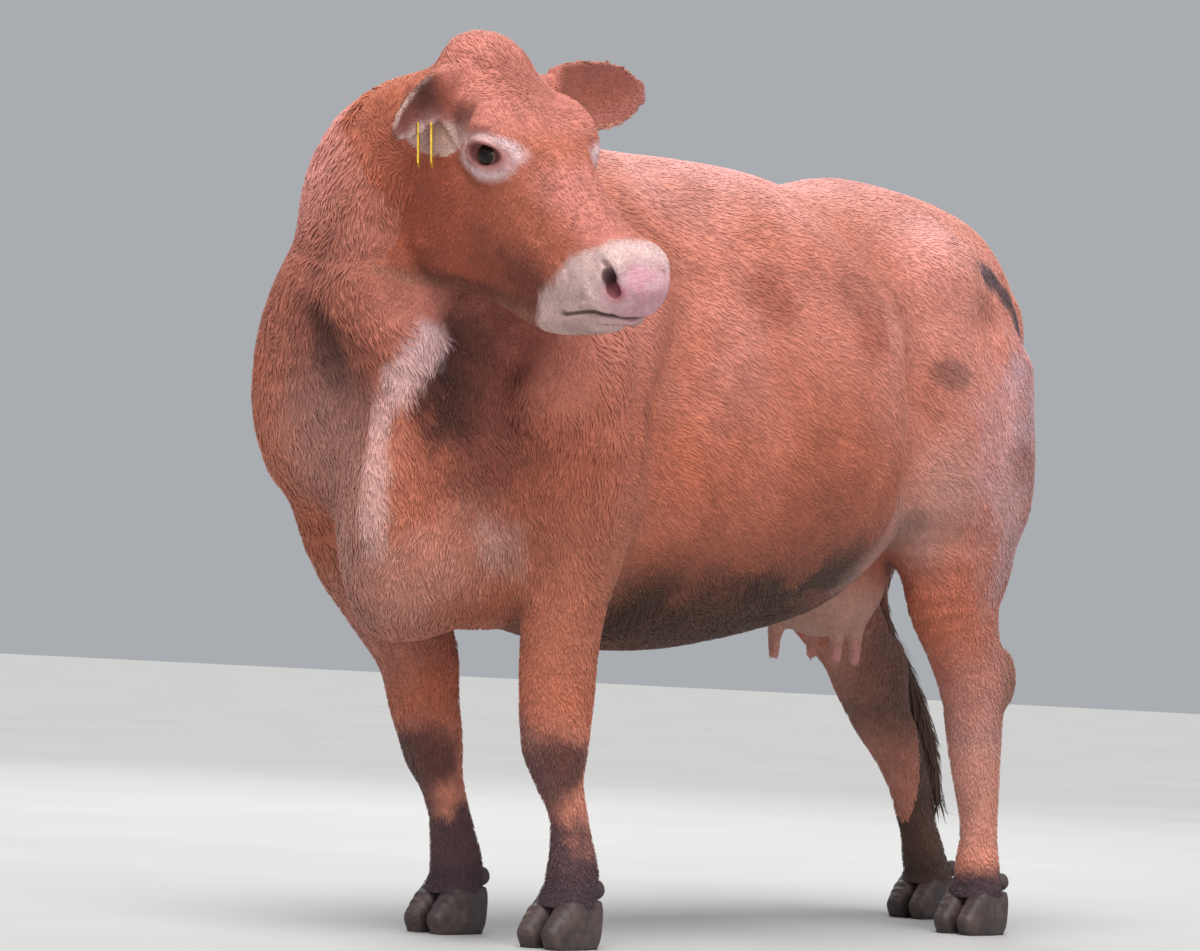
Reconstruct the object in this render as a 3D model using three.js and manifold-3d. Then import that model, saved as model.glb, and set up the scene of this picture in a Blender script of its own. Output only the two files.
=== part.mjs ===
// Standing beef cow, polled, head turned to its left. Millimetres, +Z up, facing -Y.
// All shape tables are in units of one stature; STATURE scales them to the real size.
import * as THREE from 'three';
import Module from 'manifold-3d';

const STATURE = 955;            // millimetres per table unit; withers about 1.33 m
const GAP = 0.35;               // clear gap between neighbouring pieces
const TIDY = 0.25;              // edges shorter than this are closed up
const FLESH_GRID = 0.0125;      // sampling step of the body
const EAR_GRID = 0.0055;
const CLAW_GRID = 0.0055;
const FLESH_TRIANGLES = 3500;   // budget of the whole trunk, head and legs
const MIDDLE = [110.15, -35.63, 0]; // middle of the outline's box before it is moved to the origin
const SOLE_LEVEL = 0;           // all eight soles are cut flat at this height
const CORONET = 0.076;          // height of the claw rim above the ground
const TAG = {wide:0.046, high:0.066, thick:0.0026, stud:0.0036};

// head frame: origin at the poll, turned to the cow's left, nose down, far side tipped up
const HEAD = {O:[0.209,-0.881,1.496], turn:87.9, pitch:42.9, roll:-7.7, size:1.12};
// trunk stations: y, top, bottom, half width, section exponent
const TRUNK = [
  [-0.76,1.10,0.62,0.170,2.1],
  [-0.64,1.27,0.56,0.235,2.2],
  [-0.46,1.37,0.525,0.268,2.2],
  [-0.25,1.385,0.502,0.315,2.2],
  [-0.05,1.39,0.525,0.350,2.2],
  [0.10,1.38,0.560,0.357,2.15],
  [0.24,1.39,0.640,0.325,2.15],
  [0.40,1.41,0.735,0.290,2.2],
  [0.60,1.40,0.79,0.255,2.15],
  [0.72,1.37,0.84,0.195,2.1],
  [0.80,1.315,0.95,0.110,2.0]];
// tube rows: x,y,z, side, front or top, back or bottom, exponent, up x,y,z
const NECK = [
  [0.00,-0.42,1.08, 0.15,0.25,0.30,2.1, 0,0.2,1],
  [-0.01,-0.60,1.08, 0.20,0.27,0.33,2.1, 0,0.35,1],
  [-0.05,-0.73,1.09, 0.225,0.25,0.29,2.1, -0.25,0.6,1],
  [-0.065,-0.80,1.18, 0.158,0.180,0.24,2.1, -0.5,0.65,1],
  [-0.025,-0.85,1.27, 0.128,0.122,0.19,2.1, -0.7,0.5,0.9],
  [0.06,-0.87,1.34, 0.12,0.090,0.165,2.1, -0.6,0.2,1],
  [0.17,-0.875,1.375, 0.11,0.076,0.15,2.1, -0.4,0,1]];
const DEWLAP = [
  [0.10,-0.84,1.10,0.030,0.05,0.05,2, 0,1,0],
  [0.065,-0.855,0.98,0.028,0.06,0.05,2, 0,1,0],
  [0.04,-0.86,0.84,0.028,0.06,0.06,2, 0,1,0],
  [0.03,-0.86,0.70,0.035,0.07,0.06,2, 0,1,0],
  [0.00,-0.80,0.56,0.050,0.06,0.05,2, 0,1,0.3]];
const SHOULDER = [
  [0.09,-0.40,1.28,0.050,0.10,0.10,2, 0,1,0],
  [0.175,-0.50,1.14,0.070,0.13,0.13,2, 0,1,0.3],
  [0.222,-0.63,1.00,0.080,0.13,0.12,2, 0,1,0.5],
  [0.222,-0.72,0.90,0.075,0.10,0.10,2, 0,1,0.5]];
const SHOULDER_RIGHT = [
  [-0.09,-0.42,1.28,0.050,0.10,0.10,2, 0,1,0],
  [-0.175,-0.53,1.14,0.070,0.13,0.13,2, 0,1,0.3],
  [-0.215,-0.69,1.01,0.080,0.13,0.12,2, 0,1,0.5],
  [-0.218,-0.765,0.91,0.085,0.108,0.10,2, 0,1,0.5],
  [-0.215,-0.755,0.82,0.080,0.095,0.10,2, 0,1,0.2]];
// leg rows: x,y,z, side, front, rear
const FORE_LEFT = [
  [0.205,-0.60,0.84,0.095,0.110,0.115],
  [0.200,-0.58,0.74,0.088,0.100,0.118],
  [0.192,-0.575,0.655,0.078,0.088,0.098],
  [0.187,-0.582,0.585,0.070,0.080,0.080],
  [0.185,-0.587,0.50,0.064,0.073,0.069],
  [0.185,-0.588,0.416,0.062,0.066,0.064],
  [0.185,-0.586,0.377,0.060,0.064,0.057],
  [0.185,-0.582,0.33,0.056,0.058,0.050],
  [0.185,-0.570,0.28,0.041,0.042,0.043],
  [0.185,-0.555,0.25,0.034,0.036,0.038],
  [0.185,-0.541,0.213,0.032,0.034,0.037],
  [0.185,-0.531,0.165,0.037,0.038,0.043],
  [0.185,-0.526,0.131,0.044,0.043,0.048],
  [0.185,-0.527,0.102,0.045,0.043,0.046],
  [0.185,-0.534,0.075,0.0525,0.044,0.047],
  [0.185,-0.542,0.055,0.054,0.046,0.046]];
const FORE_RIGHT = [
  [-0.212,-0.725,0.84,0.095,0.112,0.130],
  [-0.220,-0.685,0.74,0.090,0.112,0.130],
  [-0.215,-0.645,0.655,0.086,0.105,0.112],
  [-0.196,-0.595,0.575,0.080,0.092,0.092],
  [-0.168,-0.552,0.487,0.068,0.078,0.075],
  [-0.150,-0.547,0.401,0.060,0.064,0.064],
  [-0.142,-0.535,0.351,0.056,0.060,0.055],
  [-0.137,-0.527,0.308,0.051,0.053,0.050],
  [-0.132,-0.512,0.264,0.039,0.040,0.042],
  [-0.129,-0.500,0.229,0.035,0.037,0.040],
  [-0.126,-0.490,0.193,0.036,0.037,0.042],
  [-0.124,-0.481,0.154,0.041,0.041,0.047],
  [-0.122,-0.474,0.123,0.045,0.044,0.049],
  [-0.120,-0.474,0.095,0.045,0.043,0.047],
  [-0.120,-0.480,0.075,0.0525,0.044,0.047],
  [-0.120,-0.487,0.055,0.054,0.046,0.046]];
const HIND_LEFT = [
  [0.145,0.585,1.08,0.115,0.235,0.20],
  [0.168,0.555,0.92,0.115,0.245,0.225],
  [0.185,0.540,0.80,0.105,0.205,0.205],
  [0.192,0.545,0.704,0.088,0.150,0.155],
  [0.197,0.545,0.629,0.072,0.118,0.123],
  [0.195,0.575,0.555,0.060,0.085,0.100],
  [0.195,0.605,0.499,0.056,0.075,0.092],
  [0.195,0.622,0.458,0.055,0.070,0.085],
  [0.195,0.625,0.425,0.052,0.062,0.072],
  [0.195,0.637,0.346,0.047,0.054,0.060],
  [0.195,0.650,0.282,0.041,0.047,0.050],
  [0.195,0.660,0.229,0.036,0.040,0.043],
  [0.195,0.664,0.181,0.035,0.038,0.041],
  [0.195,0.664,0.132,0.042,0.042,0.045],
  [0.195,0.666,0.095,0.044,0.042,0.045],
  [0.195,0.664,0.075,0.0525,0.044,0.047],
  [0.195,0.658,0.055,0.054,0.046,0.046]];
const HIND_RIGHT = [
  [-0.148,0.605,1.08,0.115,0.23,0.20],
  [-0.172,0.585,0.92,0.118,0.235,0.215],
  [-0.190,0.590,0.80,0.108,0.200,0.195],
  [-0.197,0.630,0.70,0.090,0.145,0.155],
  [-0.190,0.680,0.62,0.074,0.112,0.120],
  [-0.180,0.745,0.546,0.062,0.090,0.095],
  [-0.170,0.785,0.469,0.058,0.078,0.086],
  [-0.160,0.825,0.397,0.053,0.065,0.070],
  [-0.150,0.860,0.346,0.048,0.055,0.060],
  [-0.140,0.897,0.275,0.040,0.045,0.049],
  [-0.135,0.917,0.215,0.036,0.041,0.044],
  [-0.130,0.928,0.177,0.036,0.039,0.042],
  [-0.125,0.940,0.133,0.042,0.042,0.045],
  [-0.120,0.950,0.095,0.044,0.042,0.045],
  [-0.120,0.952,0.075,0.0525,0.044,0.047],
  [-0.120,0.946,0.055,0.054,0.046,0.046]];
const TAIL = [
  [0,0.70,1.335,0.040,0.035,0.035,2, 0,0,1],
  [0,0.79,1.305,0.038,0.036,0.036,2, 0,0.5,1],
  [-0.005,0.866,1.23,0.027,0.027,0.027,2, 0,1,0.2],
  [-0.04,0.908,1.10,0.021,0.021,0.021,2, 0,1,0],
  [-0.11,0.912,0.94,0.018,0.018,0.018,2, 0,1,0],
  [-0.18,0.895,0.78,0.016,0.016,0.016,2, 0,1,0],
  [-0.22,0.885,0.64,0.017,0.017,0.017,2, 0,1,0]];
const SWITCH = [
  [-0.22,0.885,0.64,0.018,0.018,0.018,2, 0,1,0],
  [-0.215,0.905,0.55,0.028,0.026,0.026,2, 0,1,0],
  [-0.185,0.935,0.45,0.036,0.030,0.030,2, 0,1,0],
  [-0.155,0.965,0.34,0.032,0.026,0.026,2, 0,1,0],
  [-0.135,0.995,0.23,0.014,0.012,0.012,2, 0,1,0]];
const FEET = [[0.185,-0.541],[-0.120,-0.486],[0.195,0.660],[-0.120,0.948]];
const TEATS = [[0.060,0.365,0.496],[-0.060,0.330,0.498],[0.052,0.435,0.493],[-0.065,0.455,0.502]];
// head stations: along the face, half width, top, bottom, exponent
const SKULL = [
  [0.008,0.055,0.002,-0.11,2.2],
  [0.04,0.080,0.010,-0.15,2.3],
  [0.09,0.094,0.008,-0.20,2.5],
  [0.14,0.098,0.001,-0.24,2.6],
  [0.19,0.094,-0.004,-0.25,2.6],
  [0.25,0.080,-0.010,-0.24,2.6],
  [0.31,0.066,-0.017,-0.215,2.5],
  [0.37,0.057,-0.023,-0.185,2.5],
  [0.42,0.056,-0.021,-0.155,2.5],
  [0.455,0.0585,-0.025,-0.138,2.7],
  [0.482,0.0550,-0.033,-0.122,2.7],
  [0.499,0.0420,-0.046,-0.112,2.5]];
const JAW = [
  [0.14,-0.262,0.062,0.035],
  [0.22,-0.252,0.052,0.034],
  [0.30,-0.230,0.044,0.032],
  [0.38,-0.202,0.040,0.032],
  [0.435,-0.166,0.038,0.024],
  [0.468,-0.143,0.031,0.016]];
// ear rows, head frame: l,s,u, half width, half thickness, cup ; the opening faces N
const EAR_LEFT = {"N":[-0.2,0.75,0.60], "rows":[
  [0.066,0.074,-0.056,0.030,0.028,0.000],
  [0.100,0.078,-0.052,0.043,0.020,0.010],
  [0.142,0.082,-0.046,0.060,0.0105,0.026],
  [0.190,0.088,-0.038,0.062,0.0090,0.030],
  [0.230,0.093,-0.030,0.048,0.0080,0.022],
  [0.258,0.096,-0.023,0.020,0.0065,0.006]]};
const EAR_RIGHT = {"N":[0.1,0.85,0.50], "rows":[
  [-0.068,0.064,-0.040,0.030,0.028,0.000],
  [-0.096,0.070,-0.044,0.034,0.020,0.008],
  [-0.124,0.080,-0.058,0.041,0.0105,0.018],
  [-0.149,0.092,-0.078,0.040,0.0090,0.020],
  [-0.168,0.102,-0.094,0.031,0.0075,0.013],
  [-0.179,0.109,-0.105,0.015,0.0060,0.004]]};
const EYE = {at:[0.0795,0.198,-0.066], r:0.0185, depth:0.003, open:[0.0195,0.0115]};
// blobs: centre x,y,z, radii, blend ; "mirror" puts one on each side
const BLOBS = [
  ["mid",[0,-0.755,0.755],[0.150,0.130,0.215],0.12],
  ["mid",[0,-0.64,0.64],[0.14,0.20,0.11],0.08],
  ["mid",[-0.188,-0.80,0.945],[0.110,0.125,0.20],0.09],
  ["pair",[0.235,-0.60,0.88],[0.070,0.11,0.19],0.06],
  ["pair",[0.235,0.395,1.235],[0.045,0.08,0.055],0.09],
  ["pair",[0.085,0.805,1.17],[0.050,0.05,0.08],0.09],
  ["pair",[0.225,0.40,0.84],[0.05,0.09,0.09],0.08],
  ["mid",[0.194,0.712,0.487],[0.028,0.040,0.060],0.085],
  ["mid",[-0.168,0.862,0.495],[0.028,0.040,0.060],0.085],
  ["bag",[0.005,0.385,0.665],[0.118,0.135,0.118],0.035]];
// soft swellings (+) and hollows (-): kind, centre, radii, amount
const SWELLS = [
  ["mid",[0.165,-0.850,0.905],[0.050,0.070,0.115],-0.060],
  ["mid",[0.215,-0.800,0.960],[0.050,0.080,0.085],-0.036],
  ["mid",[0.135,-0.860,0.760],[0.035,0.050,0.080],-0.022],
  ["mid",[0.095,-0.895,0.870],[0.024,0.040,0.130],0.016],
  ["mid",[-0.015,-0.945,0.930],[0.035,0.060,0.150],-0.020],
  ["mid",[0.320,-0.555,0.930],[0.035,0.022,0.170],-0.016],
  ["pair",[0.315,0.285,0.97],[0.13,0.085,0.24],-0.070],
  ["pair",[0.22,0.20,1.25],[0.08,0.11,0.06],-0.018],
  ["mid",[0,0.36,1.41],[0.05,0.20,0.05],0.010],
  ["pair",[0.12,-0.30,1.33],[0.06,0.10,0.07],-0.012],
  ["pair",[0.29,0.62,1.02],[0.08,0.08,0.16],0.014],
  ["pair",[0.24,0.76,0.98],[0.06,0.03,0.16],-0.012],
  ["pair",[0.20,0.80,0.92],[0.08,0.05,0.14],0.012],
  ["pair",[0.28,-0.40,0.98],[0.06,0.05,0.22],-0.020],
  ["pair",[0.24,0.43,0.74],[0.06,0.09,0.035],-0.016]];
const FLANK = [
  [0.15,0.14,0.665,0.028,0.030,0.030,2, 0,0,1],
  [0.200,0.225,0.765,0.022,0.030,0.030,2, 0,0,1],
  [0.225,0.31,0.87,0.028,0.035,0.035,2, 0,0,1]];

const add=(a,b)=>[a[0]+b[0],a[1]+b[1],a[2]+b[2]];
const sub=(a,b)=>[a[0]-b[0],a[1]-b[1],a[2]-b[2]];
const mul=(a,s)=>[a[0]*s,a[1]*s,a[2]*s];
const dot=(a,b)=>a[0]*b[0]+a[1]*b[1]+a[2]*b[2];
const cross=(a,b)=>[a[1]*b[2]-a[2]*b[1],a[2]*b[0]-a[0]*b[2],a[0]*b[1]-a[1]*b[0]];
const len=a=>Math.hypot(a[0],a[1],a[2]);
const unit=a=>mul(a,1/(len(a)||1));
const mix=(a,b,t)=>a+(b-a)*t;
const cat=(p0,p1,p2,p3,t)=>{const t2=t*t,t3=t2*t;return 0.5*((2*p1)+(-p0+p2)*t+(2*p0-5*p1+4*p2-p3)*t2+(-p0+3*p1-3*p2+p3)*t3);};
// rows: [x,y,z, side, dorsal, ventral, n, ux,uy,uz]
function spline(rows,per){
  const out=[];const n=rows.length;
  for(let i=0;i<n-1;i++){
    const a=rows[Math.max(0,i-1)],b=rows[i],c=rows[i+1],d=rows[Math.min(n-1,i+2)];
    for(let j=0;j<per;j++){const t=j/per;out.push(b.map((_,k)=>cat(a[k],b[k],c[k],d[k],t)));}
  }
  out.push(rows[n-1].slice());
  return out;
}
function tube(rows,{per=4,k=0.03,cap=1,cut=false,leaf=false}={}){
  const st=spline(rows,per);const n=st.length;
  const P=st.map(r=>r.slice(0,3));
  const T=P.map((p,i)=>unit(sub(P[Math.min(n-1,i+1)],P[Math.max(0,i-1)])));
  const F=st.map((r,i)=>{const up=r.slice(7,10);const t=T[i];const L=unit(cross(up,t));const V=cross(t,L);return {L,V};});
  const segs=[];let lo=[1e9,1e9,1e9],hi=[-1e9,-1e9,-1e9];
  for(let i=0;i<n;i++){const R=Math.max(st[i][3],st[i][4],st[i][5])*Math.max(1,cap);for(let c=0;c<3;c++){lo[c]=Math.min(lo[c],P[i][c]-R);hi[c]=Math.max(hi[c],P[i][c]+R);}}
  for(let i=0;i<n-1;i++){
    segs.push([...P[i],...sub(P[i+1],P[i]),...F[i].L,...F[i+1].L,...F[i].V,...F[i+1].V,...st[i].slice(3,7),...st[i+1].slice(3,7),st[i][10]||0,st[i+1][10]||0,
      ...mul(add(P[i],P[i+1]),0.5),len(sub(P[i+1],P[i]))/2+1.1*Math.max(st[i][3],st[i][4],st[i][5],st[i+1][3],st[i+1][4],st[i+1][5])*Math.max(1,cap)]);
  }
  const m=k+0.035;
  return {kind:'tube',segs,k,cap,cut,leaf,lo:lo.map(v=>v-m),hi:hi.map(v=>v+m)};
}
function ell(c,r,{axes=[[1,0,0],[0,1,0],[0,0,1]],k=0.03,cut=false,amp=null}={}){
  const R=Math.max(...r)*(amp===null?1:2.3);const m=(amp===null?k+0.035:0);
  return {kind:amp===null?'ell':'bump',c,r,axes,k,cut,amp,lo:c.map(v=>v-R-m),hi:c.map(v=>v+R+m)};
}
function ridge(pts,{width,amp,per=4}){ // pts [x,y,z,scale]
  const st=spline(pts,per);const lo=[1e9,1e9,1e9],hi=[-1e9,-1e9,-1e9];
  for(const s of st)for(let c=0;c<3;c++){lo[c]=Math.min(lo[c],s[c]-2.4*width);hi[c]=Math.max(hi[c],s[c]+2.4*width);}
  return {kind:'ridge',st,width,amp,lo,hi};
}
function dTube(s,cap,px,py,pz,leaf){
  // one segment
  const qx=px-s[0],qy=py-s[1],qz=pz-s[2];const dx=s[3],dy=s[4],dz=s[5];
  const dd=dx*dx+dy*dy+dz*dz;let t=(qx*dx+qy*dy+qz*dz)/dd;const tt=t<0?0:t>1?1:t;
  const cx=qx-dx*tt,cy=qy-dy*tt,cz=qz-dz*tt;
  const lx=s[6]+(s[9]-s[6])*tt,ly=s[7]+(s[10]-s[7])*tt,lz=s[8]+(s[11]-s[8])*tt;
  const vx=s[12]+(s[15]-s[12])*tt,vy=s[13]+(s[16]-s[13])*tt,vz=s[14]+(s[17]-s[14])*tt;
  const u=cx*lx+cy*ly+cz*lz;let v=cx*vx+cy*vy+cz*vz;
  const w=(t-tt)*Math.sqrt(dd);
  const a=s[18]+(s[22]-s[18])*tt,b=v>0?s[19]+(s[23]-s[19])*tt:s[20]+(s[24]-s[20])*tt,n=s[21]+(s[25]-s[21])*tt;
  if(leaf){const e=u/a;v-=(s[26]+(s[27]-s[26])*tt)*(e*e-0.35);return (Math.sqrt(e*e+v*v/(b*b)+w*w/(b*b))-1)*b;}
  const c=Math.min(a,b)*cap;
  const q=Math.sqrt(cx*cx+cy*cy+cz*cz);
  if(q<1e-6)return -Math.min(a,b);
  let r;
  if(n===2)r=Math.sqrt(u*u/(a*a)+v*v/(b*b)+w*w/(c*c));
  else r=Math.pow(Math.pow(Math.abs(u)/a,n)+Math.pow(Math.abs(v)/b,n)+Math.pow(Math.abs(w)/c,n),1/n);
  return q-q/r;
}
function field(prims,px,py,pz){
  let f=10;
  for(const p of prims){
    const lo=p.lo,hi=p.hi;
    if(px<lo[0]||px>hi[0]||py<lo[1]||py>hi[1]||pz<lo[2]||pz>hi[2])continue;
    if(p.kind==='tube'){
      let d=1e9;for(const s of p.segs){const ex=px-s[28],ey=py-s[29],ez=pz-s[30],rr=s[31]+d;if(rr<0||(d<1e8&&ex*ex+ey*ey+ez*ez>rr*rr))continue;const v=dTube(s,p.cap,px,py,pz,p.leaf);if(v<d)d=v;}
      if(p.cut){d=-d;const h=Math.max(p.k-Math.abs(f-d),0)/p.k;f=Math.max(f,d)+h*h*p.k*0.25;}
      else{const h=Math.max(p.k-Math.abs(f-d),0)/p.k;f=Math.min(f,d)-h*h*p.k*0.25;}
    }else if(p.kind==='ell'||p.kind==='bump'){
      const qx=px-p.c[0],qy=py-p.c[1],qz=pz-p.c[2];const A=p.axes;
      const u=(qx*A[0][0]+qy*A[0][1]+qz*A[0][2])/p.r[0],v=(qx*A[1][0]+qy*A[1][1]+qz*A[1][2])/p.r[1],w=(qx*A[2][0]+qy*A[2][1]+qz*A[2][2])/p.r[2];
      const s=u*u+v*v+w*w;
      if(p.kind==='bump'){if(s<5.3)f-=p.amp*Math.exp(-s);continue;}
      const k0=Math.sqrt(s),k1=Math.sqrt((u/p.r[0])**2+(v/p.r[1])**2+(w/p.r[2])**2);
      let d=k1<1e-9?-Math.min(...p.r):k0*(k0-1)/k1;
      if(p.cut){d=-d;const h=Math.max(p.k-Math.abs(f-d),0)/p.k;f=Math.max(f,d)+h*h*p.k*0.25;}
      else{const h=Math.max(p.k-Math.abs(f-d),0)/p.k;f=Math.min(f,d)-h*h*p.k*0.25;}
    }else if(p.kind==='ridge'){
      let best=1e9,sc=0;const st=p.st;
      for(let i=0;i<st.length-1;i++){
        const a=st[i],b=st[i+1];const dx=b[0]-a[0],dy=b[1]-a[1],dz=b[2]-a[2];
        let t=((px-a[0])*dx+(py-a[1])*dy+(pz-a[2])*dz)/(dx*dx+dy*dy+dz*dz);t=t<0?0:t>1?1:t;
        const ex=px-a[0]-dx*t,ey=py-a[1]-dy*t,ez=pz-a[2]-dz*t;const q=ex*ex+ey*ey+ez*ez;
        if(q<best){best=q;sc=a[3]+(b[3]-a[3])*t;}
      }
      const s=best/(p.width*p.width);if(s<5.3)f-=p.amp*sc*Math.exp(-s);
    }
  }
  return f;
}
// surface nets over a rectilinear grid; f sampled hierarchically
function surfaceNets(fn,lo,hi,h,iso=0){
  const n=[0,1,2].map(c=>Math.ceil((hi[c]-lo[c])/h)+1);
  const [nx,ny,nz]=n;const B=4;
  const val=new Float32Array(nx*ny*nz).fill(1);
  const id=(i,j,k)=>i+nx*(j+ny*k);
  const pos=(i,c)=>lo[c]+i*h;
  for(let k=0;k<nz;k+=B)for(let j=0;j<ny;j+=B)for(let i=0;i<nx;i+=B){
    const ic=Math.min(i+B/2,nx-1),jc=Math.min(j+B/2,ny-1),kc=Math.min(k+B/2,nz-1);
    const f=fn(pos(ic,0),pos(jc,1),pos(kc,2))-iso;
    if(Math.abs(f)>h*B*1.6+0.0){const s=f>0?1:-1;for(let c=k;c<Math.min(k+B,nz);c++)for(let b=j;b<Math.min(j+B,ny);b++)for(let a=i;a<Math.min(i+B,nx);a++)val[id(a,b,c)]=s;continue;}
    for(let c=k;c<Math.min(k+B,nz);c++)for(let b=j;b<Math.min(j+B,ny);b++)for(let a=i;a<Math.min(i+B,nx);a++)val[id(a,b,c)]=fn(pos(a,0),pos(b,1),pos(c,2))-iso;
  }
  for(let k=0;k<nz;k++)for(let j=0;j<ny;j++)for(let i=0;i<nx;i++)if(i===0||j===0||k===0||i===nx-1||j===ny-1||k===nz-1)if(val[id(i,j,k)]<=0)val[id(i,j,k)]=1e-3;
  const vi=new Int32Array(nx*ny*nz).fill(-1);const V=[];const F=[];
  const E=[[0,1],[2,3],[4,5],[6,7],[0,2],[1,3],[4,6],[5,7],[0,4],[1,5],[2,6],[3,7]];
  const v8=new Float64Array(8);
  for(let k=0;k<nz-1;k++)for(let j=0;j<ny-1;j++)for(let i=0;i<nx-1;i++){
    let m=0;for(let c=0;c<8;c++){v8[c]=val[id(i+(c&1),j+((c>>1)&1),k+(c>>2))];if(v8[c]<0)m|=1<<c;}
    if(m===0||m===255)continue;
    let sx=0,sy=0,sz=0,cnt=0;
    for(const [a,b] of E){if((v8[a]<0)===(v8[b]<0))continue;const t=v8[a]/(v8[a]-v8[b]);
      sx+=(a&1)+((b&1)-(a&1))*t;sy+=((a>>1)&1)+(((b>>1)&1)-((a>>1)&1))*t;sz+=(a>>2)+((b>>2)-(a>>2))*t;cnt++;}
    vi[id(i,j,k)]=V.length/3;V.push(pos(i,0)+h*sx/cnt,pos(j,1)+h*sy/cnt,pos(k,2)+h*sz/cnt);
  }
  const quad=(a,b,c,d,flip)=>{if(flip)F.push(a,c,b,a,d,c);else F.push(a,b,c,a,c,d);};
  for(let k=1;k<nz-1;k++)for(let j=1;j<ny-1;j++)for(let i=1;i<nx-1;i++){
    const s=val[id(i,j,k)]<0;
    if(s!==(val[id(i+1,j,k)]<0))quad(vi[id(i,j-1,k-1)],vi[id(i,j,k-1)],vi[id(i,j,k)],vi[id(i,j-1,k)],!s);
    if(s!==(val[id(i,j+1,k)]<0))quad(vi[id(i-1,j,k-1)],vi[id(i-1,j,k)],vi[id(i,j,k)],vi[id(i,j,k-1)],!s);
    if(s!==(val[id(i,j,k+1)]<0))quad(vi[id(i-1,j-1,k)],vi[id(i,j-1,k)],vi[id(i,j,k)],vi[id(i-1,j,k)],!s);
  }
  return {V:Float64Array.from(V),F:Int32Array.from(F)};
}

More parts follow.
